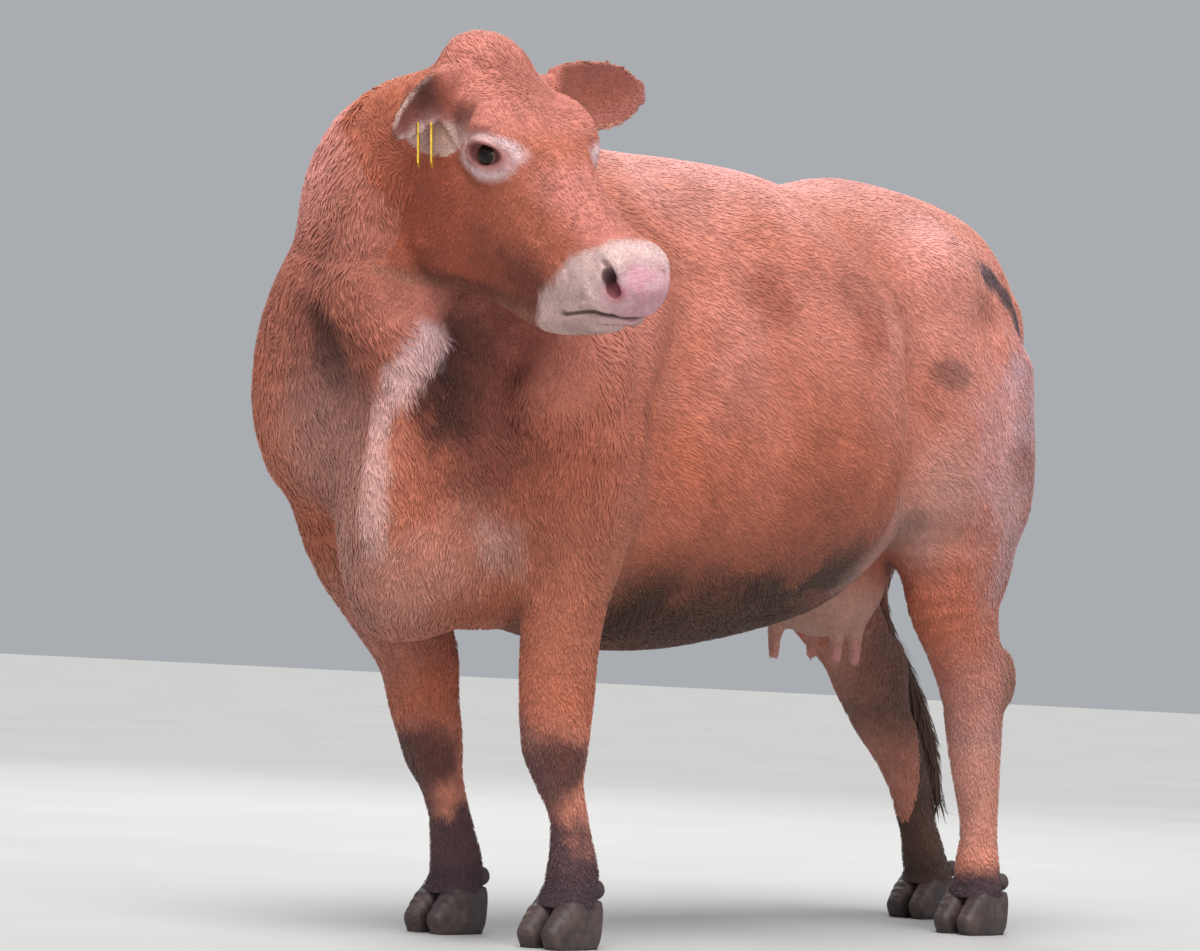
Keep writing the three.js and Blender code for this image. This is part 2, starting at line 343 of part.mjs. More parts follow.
function headFrame(){
  const d=Math.PI/180,t=HEAD.turn*d,p=HEAD.pitch*d,r=HEAD.roll*d;
  const h=[Math.sin(t),-Math.cos(t),0];
  const F=[Math.cos(p)*h[0],Math.cos(p)*h[1],-Math.sin(p)];
  let U=[Math.sin(p)*h[0],Math.sin(p)*h[1],Math.cos(p)];
  let L=cross(U,F);
  const U2=add(mul(U,Math.cos(r)),mul(L,Math.sin(r))),L2=sub(mul(L,Math.cos(r)),mul(U,Math.sin(r)));
  return {F,U:U2,L:L2,O:HEAD.O};
}
function fleshOf(part){
  const prims=[],tail=[],udder=[],ears=[];
  const H=headFrame(),S=HEAD.size;
  const flip=r=>r.map((v,i)=>i===0||i===7?-v:v);
  prims.push(tube(TRUNK.map(r=>{const zc=r[2]+(r[1]-r[2])*0.47;return [0,r[0],zc,r[3],r[1]-zc,zc-r[2],r[4],0,0,1];}),{per:5,k:0.05,cap:0.5}));
  prims.push(tube(NECK,{per:5,k:0.08,cap:0.6}));
  prims.push(tube(DEWLAP,{per:3,k:0.045,cap:0.8}));
  prims.push(tube(SHOULDER,{per:3,k:0.06,cap:0.9}));
  prims.push(tube(SHOULDER_RIGHT,{per:3,k:0.06,cap:0.9}));
  for(const [m,c,r,k] of BLOBS){const e=ell(c,r,{k});if(m==='bag')e.bag=true;prims.push(e);if(m==='pair')prims.push(ell([-c[0],c[1],c[2]],r,{k}));}
  const leg=(rows,k)=>tube(rows.map(r=>[...r,2.1,0,-1,0]),{per:3,k,cap:0.5});
  prims.push(leg(FORE_LEFT,0.045),leg(FORE_RIGHT,0.045),leg(HIND_LEFT,0.05),leg(HIND_RIGHT,0.05));
  prims.push(tube(FLANK,{per:3,k:0.05,cap:1}),tube(FLANK.map(flip),{per:3,k:0.05,cap:1}));
  for(const [x,y] of FEET)for(const c of [1,-1]){
    const claw=tube([[x+c*0.0265,y+0.028,0.040,0.0265,0.055,0.048,2.8,0,0,1],[x+c*0.0275,y-0.012,0.040,0.0270,0.045,0.048,2.8,0,0,1],[x+c*0.0265,y-0.055,0.020,0.0200,0.024,0.028,2.6,0,0,1]],{per:2,k:0.008,cap:0.9});
    claw.claw=true;claw.foot=FEET.findIndex(q=>q[0]===x&&q[1]===y);claw.side=c;prims.push(claw);
    prims.push(ell([x+c*0.024,y+0.052,0.098],[0.014,0.013,0.018],{k:0.012}));
  }
  tail.push(tube(TAIL,{per:3,k:0.03}),tube(SWITCH,{per:3,k:0.01}));
  for(const [x,y,zt] of TEATS)
    udder.push(tube([[x*0.95,y,0.58,0.020,0.020,0.020,2,0,1,0],[x,y,0.54,0.014,0.014,0.014,2,0,1,0],[x,y,zt+0.012,0.012,0.012,0.012,2,0,1,0]],{per:2,k:0.02}));
  for(const [m,c,r,a] of SWELLS){prims.push(ell(c,r,{amp:a}));if(m==='pair')prims.push(ell([-c[0],c[1],c[2]],r,{amp:a}));}
  // ---------- head
  const hp=(l,s,h)=>add(H.O,add(mul(H.L,l*S),add(mul(H.F,s*S),mul(H.U,h*S))));
  const hv=(v)=>add(mul(H.L,v[0]),add(mul(H.F,v[1]),mul(H.U,v[2])));
  const HA=[H.L,H.F,H.U];
  prims.push(tube(SKULL.map(r=>{const c=(r[2]+r[3])/2,h=(r[2]-r[3])/2;return [...hp(0,r[0],c),r[1]*S,h*S,h*S,r[4],...H.U];}),{per:4,k:0.03,cap:0.4}));
  prims.push(ell(hp(0,0.03,-0.035),[0.072*S,0.06*S,0.048*S],{axes:HA,k:0.03}));
  for(const s of [1,-1]){
    prims.push(ell(hp(s*0.062,0.165,-0.215),[0.032*S,0.085*S,0.085*S],{axes:HA,k:0.03}));
    prims.push(ell(hp(s*0.082,0.160,-0.040),[0.026*S,0.056*S,0.034*S],{axes:HA,k:0.035}));
    prims.push(ell(hp(s*0.078,0.195,-0.064),[0.021*S,0.042*S,0.036*S],{axes:HA,k:0.03}));
  }
  prims.push(tube(JAW.map(r=>[...hp(0,r[0],r[1]),r[2]*S,0.04*S,r[3]*S,2.2,...H.U]),{per:3,k:0.03}));
  for(const e of [EAR_LEFT,EAR_RIGHT]){
    const N=unit(hv(e.N));
    ears.push(tube(e.rows.map(r=>[...hp(r[0],r[1],r[2]),r[3]*S,r[4]*S,r[4]*S,2,...N,r[5]*S]),{per:3,k:0.015,leaf:true}));
  }
  if(part==='all')return [...prims,...udder,...tail,...ears];
  return {prims,tail,udder,ears};
}

// ---- mesh tools: smoothing, reduction, offset
function smooth(M, rounds) {
  const n = M.V.length / 3, F = M.F;
  const nb = Array.from({length: n}, () => []);
  for (let i = 0; i < F.length; i += 3) for (let c = 0; c < 3; c++) {
    nb[F[i + c]].push(F[i + (c + 1) % 3]);
  }
  for (let r = 0; r < rounds * 2; r++) {
    const k = r % 2 ? -0.52 : 0.5, W = M.V.slice();
    for (let i = 0; i < n; i++) {
      const q = nb[i]; if (!q.length) continue;
      for (let c = 0; c < 3; c++) {
        let s = 0; for (const j of q) s += M.V[3 * j + c];
        W[3 * i + c] += k * (s / q.length - M.V[3 * i + c]);
      }
    }
    M.V = W;
  }
  return M;
}
function reduce(M, target, weight, short = 0) {
  const V = Float64Array.from(M.V), n = V.length / 3;
  const faces = []; const adj = Array.from({length: n}, () => new Set());
  for (let i = 0; i < M.F.length; i += 3) { faces.push([M.F[i], M.F[i + 1], M.F[i + 2]]); }
  faces.forEach((f, i) => f.forEach(v => adj[v].add(i)));
  const Q = new Float64Array(n * 10);
  const pt = i => [V[3 * i], V[3 * i + 1], V[3 * i + 2]];
  for (const f of faces) {
    const a = pt(f[0]), b = pt(f[1]), c = pt(f[2]);
    const nn = cross(sub(b, a), sub(c, a)), ar = len(nn); if (ar < 1e-14) continue;
    const m = mul(nn, 1 / ar), d = -dot(m, a), w = ar * (weight ? weight(a) : 1);
    const e = [m[0] * m[0], m[0] * m[1], m[0] * m[2], m[0] * d, m[1] * m[1], m[1] * m[2], m[1] * d, m[2] * m[2], m[2] * d, d * d];
    for (const v of f) for (let k = 0; k < 10; k++) Q[v * 10 + k] += e[k] * w;
  }
  const cost = (q, p) => q[0] * p[0] * p[0] + 2 * q[1] * p[0] * p[1] + 2 * q[2] * p[0] * p[2] + 2 * q[3] * p[0] + q[4] * p[1] * p[1] + 2 * q[5] * p[1] * p[2] + 2 * q[6] * p[1] + q[7] * p[2] * p[2] + 2 * q[8] * p[2] + q[9];
  const best = (a, b) => {
    const q = new Float64Array(10); for (let k = 0; k < 10; k++) q[k] = Q[a * 10 + k] + Q[b * 10 + k];
    const pa = pt(a), pb = pt(b), pm = mul(add(pa, pb), 0.5);
    let p = pm, c = cost(q, pm);
    const det = q[0] * (q[4] * q[7] - q[5] * q[5]) - q[1] * (q[1] * q[7] - q[5] * q[2]) + q[2] * (q[1] * q[5] - q[4] * q[2]);
    if (Math.abs(det) > 1e-16) {
      const r = [-q[3], -q[6], -q[8]];
      const x = (r[0] * (q[4] * q[7] - q[5] * q[5]) - q[1] * (r[1] * q[7] - q[5] * r[2]) + q[2] * (r[1] * q[5] - q[4] * r[2])) / det;
      const y = (q[0] * (r[1] * q[7] - q[5] * r[2]) - r[0] * (q[1] * q[7] - q[5] * q[2]) + q[2] * (q[1] * r[2] - r[1] * q[2])) / det;
      const z = (q[0] * (q[4] * r[2] - r[1] * q[5]) - q[1] * (q[1] * r[2] - r[1] * q[2]) + r[0] * (q[1] * q[5] - q[4] * q[2])) / det;
      const o = [x, y, z];
      if (len(sub(o, pm)) < len(sub(pa, pb)) * 1.2) { const co = cost(q, o); if (co < c) { c = co; p = o; } }
    }
    const e = sub(pa, pb);
    return {c: Math.max(c, 0) + 2e-6 * dot(e, e) * dot(e, e), p};
  };
  const stamp = new Int32Array(n); const heap = [];
  const push = h => { let i = heap.length; heap.push(h); while (i) { const j = (i - 1) >> 1; if (heap[j].c <= h.c) break; heap[i] = heap[j]; i = j; } heap[i] = h; };
  const pop = () => {
    const top = heap[0], h = heap.pop(); const m = heap.length; if (!m) return top;
    let i = 0; for (;;) { let j = 2 * i + 1; if (j >= m) break; if (j + 1 < m && heap[j + 1].c < heap[j].c) j++; if (heap[j].c >= h.c) break; heap[i] = heap[j]; i = j; }
    heap[i] = h; return top;
  };
  const edge = (a, b) => { if (short) { const e = len(sub(pt(a), pt(b))); if (e < short) push({c: e, p: mul(add(pt(a), pt(b)), 0.5), a, b, s: stamp[a] + stamp[b]}); return; } const r = best(a, b); push({c: r.c, p: r.p, a, b, s: stamp[a] + stamp[b]}); };
  for (const f of faces) for (let k = 0; k < 3; k++) { const a = f[k], b = f[(k + 1) % 3]; if (a < b) edge(a, b); }
  const alive = new Uint8Array(faces.length).fill(1); let count = faces.length; const dead = new Uint8Array(n);
  const ring = v => { const s = new Set(); for (const i of adj[v]) for (const w of faces[i]) if (w !== v) s.add(w); return s; };
  while (count > target && heap.length) {
    const h = pop(); const {a, b, p} = h;
    if (dead[a] || dead[b] || h.s !== stamp[a] + stamp[b]) continue;
    const ra = ring(a), rb = ring(b); let common = 0; for (const v of ra) if (rb.has(v)) common++;
    if (common !== 2) continue;
    let ok = true;
    for (const [v, o] of [[a, b], [b, a]]) {
      for (const i of adj[v]) {
        const f = faces[i]; if (f.includes(o)) continue;
        const P = f.map(pt), n0 = cross(sub(P[1], P[0]), sub(P[2], P[0]));
        P[f.indexOf(v)] = p; const n1 = cross(sub(P[1], P[0]), sub(P[2], P[0]));
        const l1 = len(n1), e = Math.max(len(sub(P[1], P[0])), len(sub(P[2], P[1])), len(sub(P[0], P[2])));
        if (short && len(n0) < 0.02 * e * e) continue;
        if (dot(n0, n1) < (short ? 0 : 0.35) * len(n0) * l1 || l1 < (short ? 1e-4 : 0.04) * e * e) { ok = false; break; }
      }
      if (!ok) break;
    }
    if (!ok) continue;
    for (let c = 0; c < 3; c++) V[3 * a + c] = p[c];
    for (let k = 0; k < 10; k++) Q[a * 10 + k] += Q[b * 10 + k];
    for (const i of adj[b]) {
      const f = faces[i];
      if (f.includes(a)) { alive[i] = 0; count--; for (const v of f) if (v !== b) adj[v].delete(i); }
      else { f[f.indexOf(b)] = a; adj[a].add(i); }
    }
    adj[b].clear(); dead[b] = 1; stamp[a] += stamp[b] + 1;
    for (const v of ring(a)) edge(a, v);
  }
  const map = new Int32Array(n).fill(-1), W = [], G = [];
  faces.forEach((f, i) => { if (!alive[i]) return; for (const v of f) { if (map[v] < 0) { map[v] = W.length / 3; W.push(V[3 * v], V[3 * v + 1], V[3 * v + 2]); } G.push(map[v]); } });
  return {V: Float64Array.from(W), F: Int32Array.from(G)};
}
// corners that fall on one point are drawn apart, each towards its own faces
function unstick(M) {
  for (let round = 0; round < 4; round++) {
    const n = M.V.length / 3, at = new Map(), nb = Array.from({length: n}, () => new Set()); let any = false;
    for (let i = 0; i < M.F.length; i += 3) for (let c = 0; c < 3; c++) { nb[M.F[i + c]].add(M.F[i + (c + 1) % 3]); nb[M.F[i + c]].add(M.F[i + (c + 2) % 3]); }
    for (let i = 0; i < n; i++) { const k = [0, 1, 2].map(c => Math.round(M.V[3 * i + c] * 20)).join(); if (!at.has(k)) at.set(k, []); at.get(k).push(i); }
    for (const q of at.values()) if (q.length > 1) {
      any = true;
      for (const i of q) {
        const m = [0, 0, 0]; for (const j of nb[i]) for (let c = 0; c < 3; c++) m[c] += M.V[3 * j + c] / nb[i].size;
        const d = sub(m, [M.V[3 * i], M.V[3 * i + 1], M.V[3 * i + 2]]), s = Math.min(1, 0.3 / (len(d) || 1));
        for (let c = 0; c < 3; c++) M.V[3 * i + c] += d[c] * s;
      }
    }
    if (!any) break;
  }
  return M;
}

// ---- sampled solids
const {prims: flesh, tail, udder, ears} = fleshOf('parts');
const boxOf = list => [0, 1, 2].map(c => [Math.min(...list.map(p => p.lo[c])), Math.max(...list.map(p => p.hi[c]))]);
function sampled(list, grid, rounds, budget, weight, extra) {
  const b = boxOf(list);
  const fn = extra ? (x, y, z) => extra(field(list, x, y, z), x, y, z) : (x, y, z) => field(list, x, y, z);
  const M = surfaceNets(fn, b.map(q => q[0]), b.map(q => q[1]), grid, 0);
  return reduce(smooth(biggest(M), rounds), budget, weight);
}
function biggest(M) {
  const parts = shells(M); let k = 0; parts.forEach((p, i) => { if (p.F.length > parts[k].F.length) k = i; });
  return parts[k];
}
function shells(M) {
  const n = M.V.length / 3, par = new Int32Array(n).map((_, i) => i);
  const root = i => { while (par[i] !== i) { par[i] = par[par[i]]; i = par[i]; } return i; };
  for (let i = 0; i < M.F.length; i += 3) { par[root(M.F[i])] = root(M.F[i + 1]); par[root(M.F[i + 1])] = root(M.F[i + 2]); }
  const out = new Map();
  for (let i = 0; i < M.F.length; i += 3) {
    const r = root(M.F[i]); if (!out.has(r)) out.set(r, {map: new Map(), V: [], F: []});
    const o = out.get(r);
    for (let c = 0; c < 3; c++) { const v = M.F[i + c]; if (!o.map.has(v)) { o.map.set(v, o.V.length / 3); o.V.push(M.V[3 * v], M.V[3 * v + 1], M.V[3 * v + 2]); } o.F.push(o.map.get(v)); }
  }
  return [...out.values()].map(o => ({V: Float64Array.from(o.V), F: Int32Array.from(o.F)}));
}
const wasm = await Module();
wasm.setup();
const solid = M => new wasm.Manifold(new wasm.Mesh({numProp: 3, vertProperties: Float32Array.from(M.V, v => v * STATURE), triVerts: Uint32Array.from(M.F)}));
const meshOf = S => { const m = S.getMesh(); return {V: Float64Array.from(m.vertProperties), F: Int32Array.from(m.triVerts)}; };
const fromMM = M => new wasm.Manifold(new wasm.Mesh({numProp: 3, vertProperties: Float32Array.from(M.V), triVerts: Uint32Array.from(M.F)}));
function geometrySolid(g) {
  g.deleteAttribute('normal'); g.deleteAttribute('uv');
  const p = g.getAttribute('position'), key = new Map(), V = [], F = [];
  const idx = g.index ? Array.from(g.index.array) : Array.from({length: p.count}, (_, i) => i);
  const id = idx.map(i => { const k = [p.getX(i), p.getY(i), p.getZ(i)].map(v => v.toFixed(4)).join(); if (!key.has(k)) { key.set(k, V.length / 3); V.push(p.getX(i), p.getY(i), p.getZ(i)); } return key.get(k); });
  for (let i = 0; i < id.length; i += 3) if (id[i] !== id[i + 1] && id[i + 1] !== id[i + 2] && id[i] !== id[i + 2]) F.push(id[i], id[i + 1], id[i + 2]);
  return fromMM({V: Float64Array.from(V), F: Int32Array.from(F)});
}
// box with centre, half sizes and three axes, in table units
function block(c, h, X = [1, 0, 0], Y = [0, 1, 0], Z = [0, 0, 1], grow = 0) {
  if (dot(cross(X, Y), Z) < 0) X = mul(X, -1);
  const g = new THREE.BoxGeometry(...h.map(v => 2 * v * STATURE + 2 * grow));
  const m = new THREE.Matrix4().makeBasis(new THREE.Vector3(...X), new THREE.Vector3(...Y), new THREE.Vector3(...Z));
  m.setPosition(...c.map(v => v * STATURE)); g.applyMatrix4(m);
  return geometrySolid(g);
}
function ball(c, r, grow = 0) {
  const g = new THREE.IcosahedronGeometry(r * STATURE + grow, 2); g.translate(...c.map(v => v * STATURE));
  return geometrySolid(g);
}
// ellipsoid along three axes
function egg(c, r, X, Y, Z) {
  if (dot(cross(X, Y), Z) < 0) X = mul(X, -1);
  const g = new THREE.IcosahedronGeometry(1, 2);
  g.scale(...r.map(v => v * STATURE));
  const m = new THREE.Matrix4().makeBasis(new THREE.Vector3(...X), new THREE.Vector3(...Y), new THREE.Vector3(...Z));
  m.setPosition(...c.map(v => v * STATURE)); g.applyMatrix4(m);
  return geometrySolid(g);
}
const head = headFrame(), HS = HEAD.size;
const onHead = (l, s, u) => add(head.O, add(mul(head.L, l * HS), add(mul(head.F, s * HS), mul(head.U, u * HS))));
const headDir = (l, s, u) => unit(add(mul(head.L, l), add(mul(head.F, s), mul(head.U, u))));

// ---- body in one piece, then parted
const fine = p => (p[0] > 0.12 && p[2] > 0.98 && p[1] < -0.7) ? 4 : p[2] < 0.2 ? 2 : p[2] < 0.6 ? 1.4 : 1;
let body = solid(sampled(flesh.filter(p => !p.claw && !p.bag), FLESH_GRID, 3, FLESH_TRIANGLES, fine));
body = body.intersect(block([0, 0, 1.2 + CORONET + 0.0006], [2, 2, 1.2]));

const group = new THREE.Group();
const HIDE = 0xb5653a;
const PAINT = {hide: HIDE, dark: 0x8f4a2c, pale: 0xd9a58c, mud: 0x4a3030, horn: 0x2b2220, eye: 0x120c0a, pink: 0xd79a90, tag: 0xe8b421};
function node(name, M, colour, rough = 0.85) {
  M = unstick(reduce(M, 0, null, TIDY));
  const g = new THREE.BufferGeometry();
  g.setAttribute('position', new THREE.BufferAttribute(Float32Array.from(M.V), 3));
  g.setIndex(new THREE.BufferAttribute(Uint32Array.from(M.F), 1)); g.computeVertexNormals();
  const m = new THREE.Mesh(g, new THREE.MeshStandardMaterial({color: PAINT[colour], roughness: rough, metalness: 0}));
  m.name = name; group.add(m);
}
const single = S => biggest(meshOf(S));

// eyes sit in round sockets
const eyes = {};
for (const [side, s] of [['left', 1], ['right', -1]]) {
  // the ball sits so far in that its front just shows between the lids
  const out = mul(head.L, s); let c = onHead(s * EYE.at[0], EYE.at[1], EYE.at[2]), d = 0;
  while (field(flesh, ...add(c, mul(out, d))) < 0) d += 0.0005;
  c = add(c, mul(out, d - EYE.r * HS - EYE.depth));
  body = body.subtract(ball(c, EYE.r * HS, GAP));
  body = body.subtract(egg(add(c, mul(out, EYE.r * HS * 1.02)), [0.016, EYE.open[0], EYE.open[1]], out, head.F, cross(out, head.F)));
  eyes[side] = ball(c, EYE.r * HS);
}
// a thin cut: centre, normal, half sizes
function slab(c, n, half, span = [1, 0, 0]) {
  const N = unit(n), X = unit(sub(span, mul(N, dot(span, N)))), Y = cross(N, X);
  return block(c, [half[0], half[1], GAP / STATURE / 2], X, Y, N);
}
const middle = M => [0, 1, 2].map(k => { let a = 1e9, b = -1e9; for (let i = k; i < M.V.length; i += 3) { a = Math.min(a, M.V[i]); b = Math.max(b, M.V[i]); } return (a + b) / 2 / STATURE; });
const nearest = (list, seed) => list.reduce((a, b) => len(sub(middle(b), seed)) < len(sub(middle(a), seed)) ? b : a);
// takes the loose piece nearest to a seed off the body
function take(seed) {
  const list = shells(meshOf(body)).filter(M => M.F.length > 60), M = nearest(list, seed), V = [], F = [];
  for (const o of list) if (o !== M) { const k = V.length / 3; for (const v of o.V) V.push(v); for (const f of o.F) F.push(f + k); }
  body = fromMM({V: Float64Array.from(V), F: Int32Array.from(F)});
  return fromMM(M);
}
const pieces = {};
ears.forEach((e, i) => {
  const table = i ? EAR_RIGHT : EAR_LEFT, a = table.rows[1], b = table.rows[2], tip = table.rows[4];
  body = body.add(solid(sampled([e], EAR_GRID, 2, 230)));
  // the far ear is cut across its root, the near one, which droops, along the side of the head
  body = body.subtract(i ? slab(onHead(-0.109, 0.085, -0.078), head.L, [0.095, 0.11], head.F)
    : slab(onHead(mix(a[0], b[0], 0.45), mix(a[1], b[1], 0.45), mix(a[2], b[2], 0.45)), headDir(b[0] - a[0], b[1] - a[1], b[2] - a[2]), [0.075, 0.075], headDir(...table.N)));
  pieces[i ? 'ear_right' : 'ear_left'] = take(onHead(...mul(add(b, tip), 0.5).slice(0, 3)));
});
{
  body = body.add(solid(sampled(tail, 0.008, 2, 420)));
  const s = SWITCH[1];
  body = body.subtract(slab([0, 0.775, 1.29], [0, 1, 0], [0.06, 0.075])).subtract(slab(s.slice(0, 3), [0, 0.1, -1], [0.05, 0.06]));
  pieces.tail = take([-0.11, 0.90, 0.90]);
  pieces.tail_switch = take([-0.165, 0.945, 0.40]);
  body = body.add(solid(sampled([...flesh.filter(p => p.bag), ...udder], 0.008, 2, 460)));
  const bag = [[0, 0.385, 0.565], [0.112, 0.16, 0.095]];
  pieces.udder = body.intersect(block(...bag));
  body = body.subtract(block(...bag, [1, 0, 0], [0, 1, 0], [0, 0, 1], GAP));
}
// two studded tags hang on the right ear
{
  const e = EAR_RIGHT, a = e.rows[2], b = e.rows[4];
  const T = headDir(b[0] - a[0], b[1] - a[1], b[2] - a[2]);
  const earN = headDir(...e.N), rim = unit(cross(earN, T));
  const N = unit([0.77, 0.635, 0.05]);   // the plates hang side by side, facing along this line
  const at = add(onHead(mix(a[0], b[0], 0.55), mix(a[1], b[1], 0.55), mix(a[2], b[2], 0.55)), mul(rim, 0.030 * HEAD.size));
  const down = [0.10, 0, -1];
  const D = unit(sub(down, mul(N, dot(down, N)))), W = cross(D, N);
  const plate = (off, grow = 0) => block(add(add(at, mul(N, off)), mul(D, TAG.high * 0.44)), [TAG.wide / 2, TAG.high / 2, TAG.thick / 2], W, D, N, grow);
  const stud = (r, from, to) => {
    const g = new THREE.CylinderGeometry(r * STATURE, r * STATURE, (to - from) * STATURE, 16);
    g.rotateX(Math.PI / 2);
    const S = dot(cross(W, D), N) < 0 ? mul(W, -1) : W;
    const m = new THREE.Matrix4().makeBasis(new THREE.Vector3(...S), new THREE.Vector3(...D), new THREE.Vector3(...N));
    m.setPosition(...add(at, mul(N, (from + to) / 2)).map(v => v * STATURE)); g.applyMatrix4(m);
    return geometrySolid(g);
  };
  const outer = 0.011, inner = -0.010, gap = GAP / STATURE;
  pieces.ear_tag_rear = plate(inner).add(stud(TAG.stud, inner, outer - TAG.thick / 2 - gap));
  pieces.ear_tag_front = plate(outer);
  pieces.ear_right = pieces.ear_right.subtract(stud(TAG.stud + gap, inner, outer)).subtract(plate(inner, GAP)).subtract(plate(outer, GAP));
  body = body.subtract(plate(inner, GAP)).subtract(plate(outer, GAP)).subtract(stud(TAG.stud + gap, inner, outer));
}
// parting cuts: centre, half sizes, normal, seed of the piece that comes off
const cell = (c, h, X, Y, Z) => [block(c, h, X, Y, Z), block(c, h, X, Y, Z, GAP)];
{
  const a = headDir(0, 0.94, 0.34), b = headDir(0, -0.34, 0.94), l = head.L;
  const Q = onHead(0, 0.05, -0.36), size = [0.36, 0.34, 0.19];
  const c = add(Q, add(mul(a, size[0]), mul(b, size[1])));
  const [inside, around] = cell(c, size, a, b, l);
  pieces.head = body.intersect(inside); body = body.subtract(around);
}
const cuts = [
  ['neck', [0, -0.70, 1.05], [0, -0.81, 0.58], [0.55, 0.52]],
  ['chest', [0, -0.33, 0.98], [0, 1, 0], [0.5, 0.6]],
  ['hindquarters', [0, 0.215, 0.98], [0, 1, 0], [0.5, 0.6]]];
for (const [, c, n, half] of cuts) body = body.subtract(slab(c, n, half));
const legs = {
  foreleg_left: {rows: FORE_LEFT, at: [0.495, 0.305, 0.158]}, foreleg_right: {rows: FORE_RIGHT, at: [0.495, 0.285, 0.150]},
  hindleg_left: {rows: HIND_LEFT, at: [0.545, 0.395, 0.155]}, hindleg_right: {rows: HIND_RIGHT, at: [0.545, 0.395, 0.155]}};
const along = (rows, z) => { for (let i = 0; i < rows.length - 1; i++) { const p = rows[i], q = rows[i + 1]; if (z <= p[2] && z >= q[2]) { const t = (p[2] - z) / (p[2] - q[2]); return p.map((v, k) => v + (q[k] - v) * t); } } return rows[rows.length - 1]; };
for (const k in legs) for (const z of legs[k].at) {
  const r = along(legs[k].rows, z); body = body.subtract(slab([r[0], r[1], z], [0, 0, 1], [r[3] + 0.035, Math.max(r[4], r[5]) + (k === 'hindleg_right' ? 0.10 : 0.045)]));
}
// name every loose piece by the seed it lies nearest to
const seeds = {neck: [-0.02, -0.82, 1.12], chest: [0, -0.5, 0.9], barrel: [0, -0.05, 0.95], hindquarters: [0, 0.52, 1.05]};
for (const k in legs) {
  const z = [...legs[k].at, CORONET], names = k.startsWith('fore') ? ['forearm', 'cannon', 'pastern'] : ['gaskin', 'cannon', 'pastern'];
  names.forEach((n, i) => { const r = along(legs[k].rows, (z[i] + z[i + 1]) / 2); seeds[k + '_' + n] = [r[0], r[1], (z[i] + z[i + 1]) / 2]; });
}
const loose = shells(meshOf(body)).map(M => {
  let c = [0, 0, 0], w = 0; const b = [[1e9, -1e9], [1e9, -1e9], [1e9, -1e9]];
  for (let i = 0; i < M.V.length; i += 3) for (let k = 0; k < 3; k++) { b[k][0] = Math.min(b[k][0], M.V[i + k]); b[k][1] = Math.max(b[k][1], M.V[i + k]); }
  return {M, c: b.map(q => (q[0] + q[1]) / 2 / STATURE)};
});
loose.sort((p, q) => q.M.F.length - p.M.F.length);
const taken = new Set();
for (const n in seeds) {
  let k = -1, d = 1e9; loose.forEach((o, i) => { const e = len(sub(o.c, seeds[n])); if (!taken.has(i) && o.M.F.length > 90 && e < d) { d = e; k = i; } });
  taken.add(k); node(n, loose[k].M, /pastern/.test(n) ? 'mud' : n === 'neck' ? 'dark' : 'hide');
}
node('head', single(pieces.head), 'hide');
for (const k of ['ear_left', 'ear_right', 'tail', 'tail_switch']) node(k, single(pieces[k]), k === 'tail_switch' ? 'dark' : 'hide');
node('udder', single(pieces.udder), 'pink', 0.7);
for (const k of ['left', 'right']) node('eye_' + k, meshOf(eyes[k]), 'eye', 0.1);
node('ear_tag_front', single(pieces.ear_tag_front), 'tag', 0.4);
node('ear_tag_rear', single(pieces.ear_tag_rear), 'tag', 0.4);
// claws: two to a foot, flat soled, cut level at the rim
FEET.forEach(([x, y], f) => {
  const foot = ['foreleg_left', 'foreleg_right', 'hindleg_left', 'hindleg_right'][f];
  for (const side of [1, -1]) {
    const list = flesh.filter(p => p.claw && p.foot === f && p.side === side);
    let S = solid(sampled(list, CLAW_GRID, 2, 64));
    S = S.intersect(block([x, y, CORONET / 2], [0.2, 0.2, CORONET / 2])).intersect(block([x + side * (0.1 + GAP / STATURE / 2), y, 0], [0.1, 0.2, 0.2]));
    node(foot + '_claw_' + (side > 0 ? 'left' : 'right'), single(S), 'horn', 0.55);
  }
});
// the origin is the middle of the footprint box, on the ground
for (const m of group.children) m.geometry.translate(...MIDDLE.map(v => -v));
export default group;
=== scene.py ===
import math
import bpy
import numpy as np
from mathutils import Matrix, Vector


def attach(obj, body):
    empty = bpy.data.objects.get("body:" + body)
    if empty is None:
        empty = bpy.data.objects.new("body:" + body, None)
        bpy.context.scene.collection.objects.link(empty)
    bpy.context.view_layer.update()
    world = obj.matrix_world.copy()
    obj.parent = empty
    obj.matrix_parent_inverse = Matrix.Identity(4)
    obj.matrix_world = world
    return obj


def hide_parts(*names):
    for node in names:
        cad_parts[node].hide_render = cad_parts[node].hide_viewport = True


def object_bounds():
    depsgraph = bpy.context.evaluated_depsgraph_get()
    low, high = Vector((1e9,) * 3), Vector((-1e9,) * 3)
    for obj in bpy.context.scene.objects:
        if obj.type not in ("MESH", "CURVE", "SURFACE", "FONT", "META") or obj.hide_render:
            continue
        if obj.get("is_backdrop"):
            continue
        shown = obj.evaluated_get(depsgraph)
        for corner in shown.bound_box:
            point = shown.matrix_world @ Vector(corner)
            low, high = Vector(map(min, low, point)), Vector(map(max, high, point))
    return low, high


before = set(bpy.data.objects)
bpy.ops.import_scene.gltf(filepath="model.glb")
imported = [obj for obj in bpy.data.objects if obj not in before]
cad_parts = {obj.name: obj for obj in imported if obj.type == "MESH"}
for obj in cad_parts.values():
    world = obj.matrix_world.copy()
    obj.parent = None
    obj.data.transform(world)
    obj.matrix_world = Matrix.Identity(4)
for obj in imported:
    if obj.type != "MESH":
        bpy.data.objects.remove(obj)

cad_box = [[float(c) for c in corner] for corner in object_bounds()]
rng = np.random.default_rng(7)

STATURE = 0.955          # metres per table unit
GRID = 0.0066            # sampling step of the skin, in table units
SHIFT = np.array([-0.11015, 0.03563, 0.0])   # metres, puts the outline's box over the origin

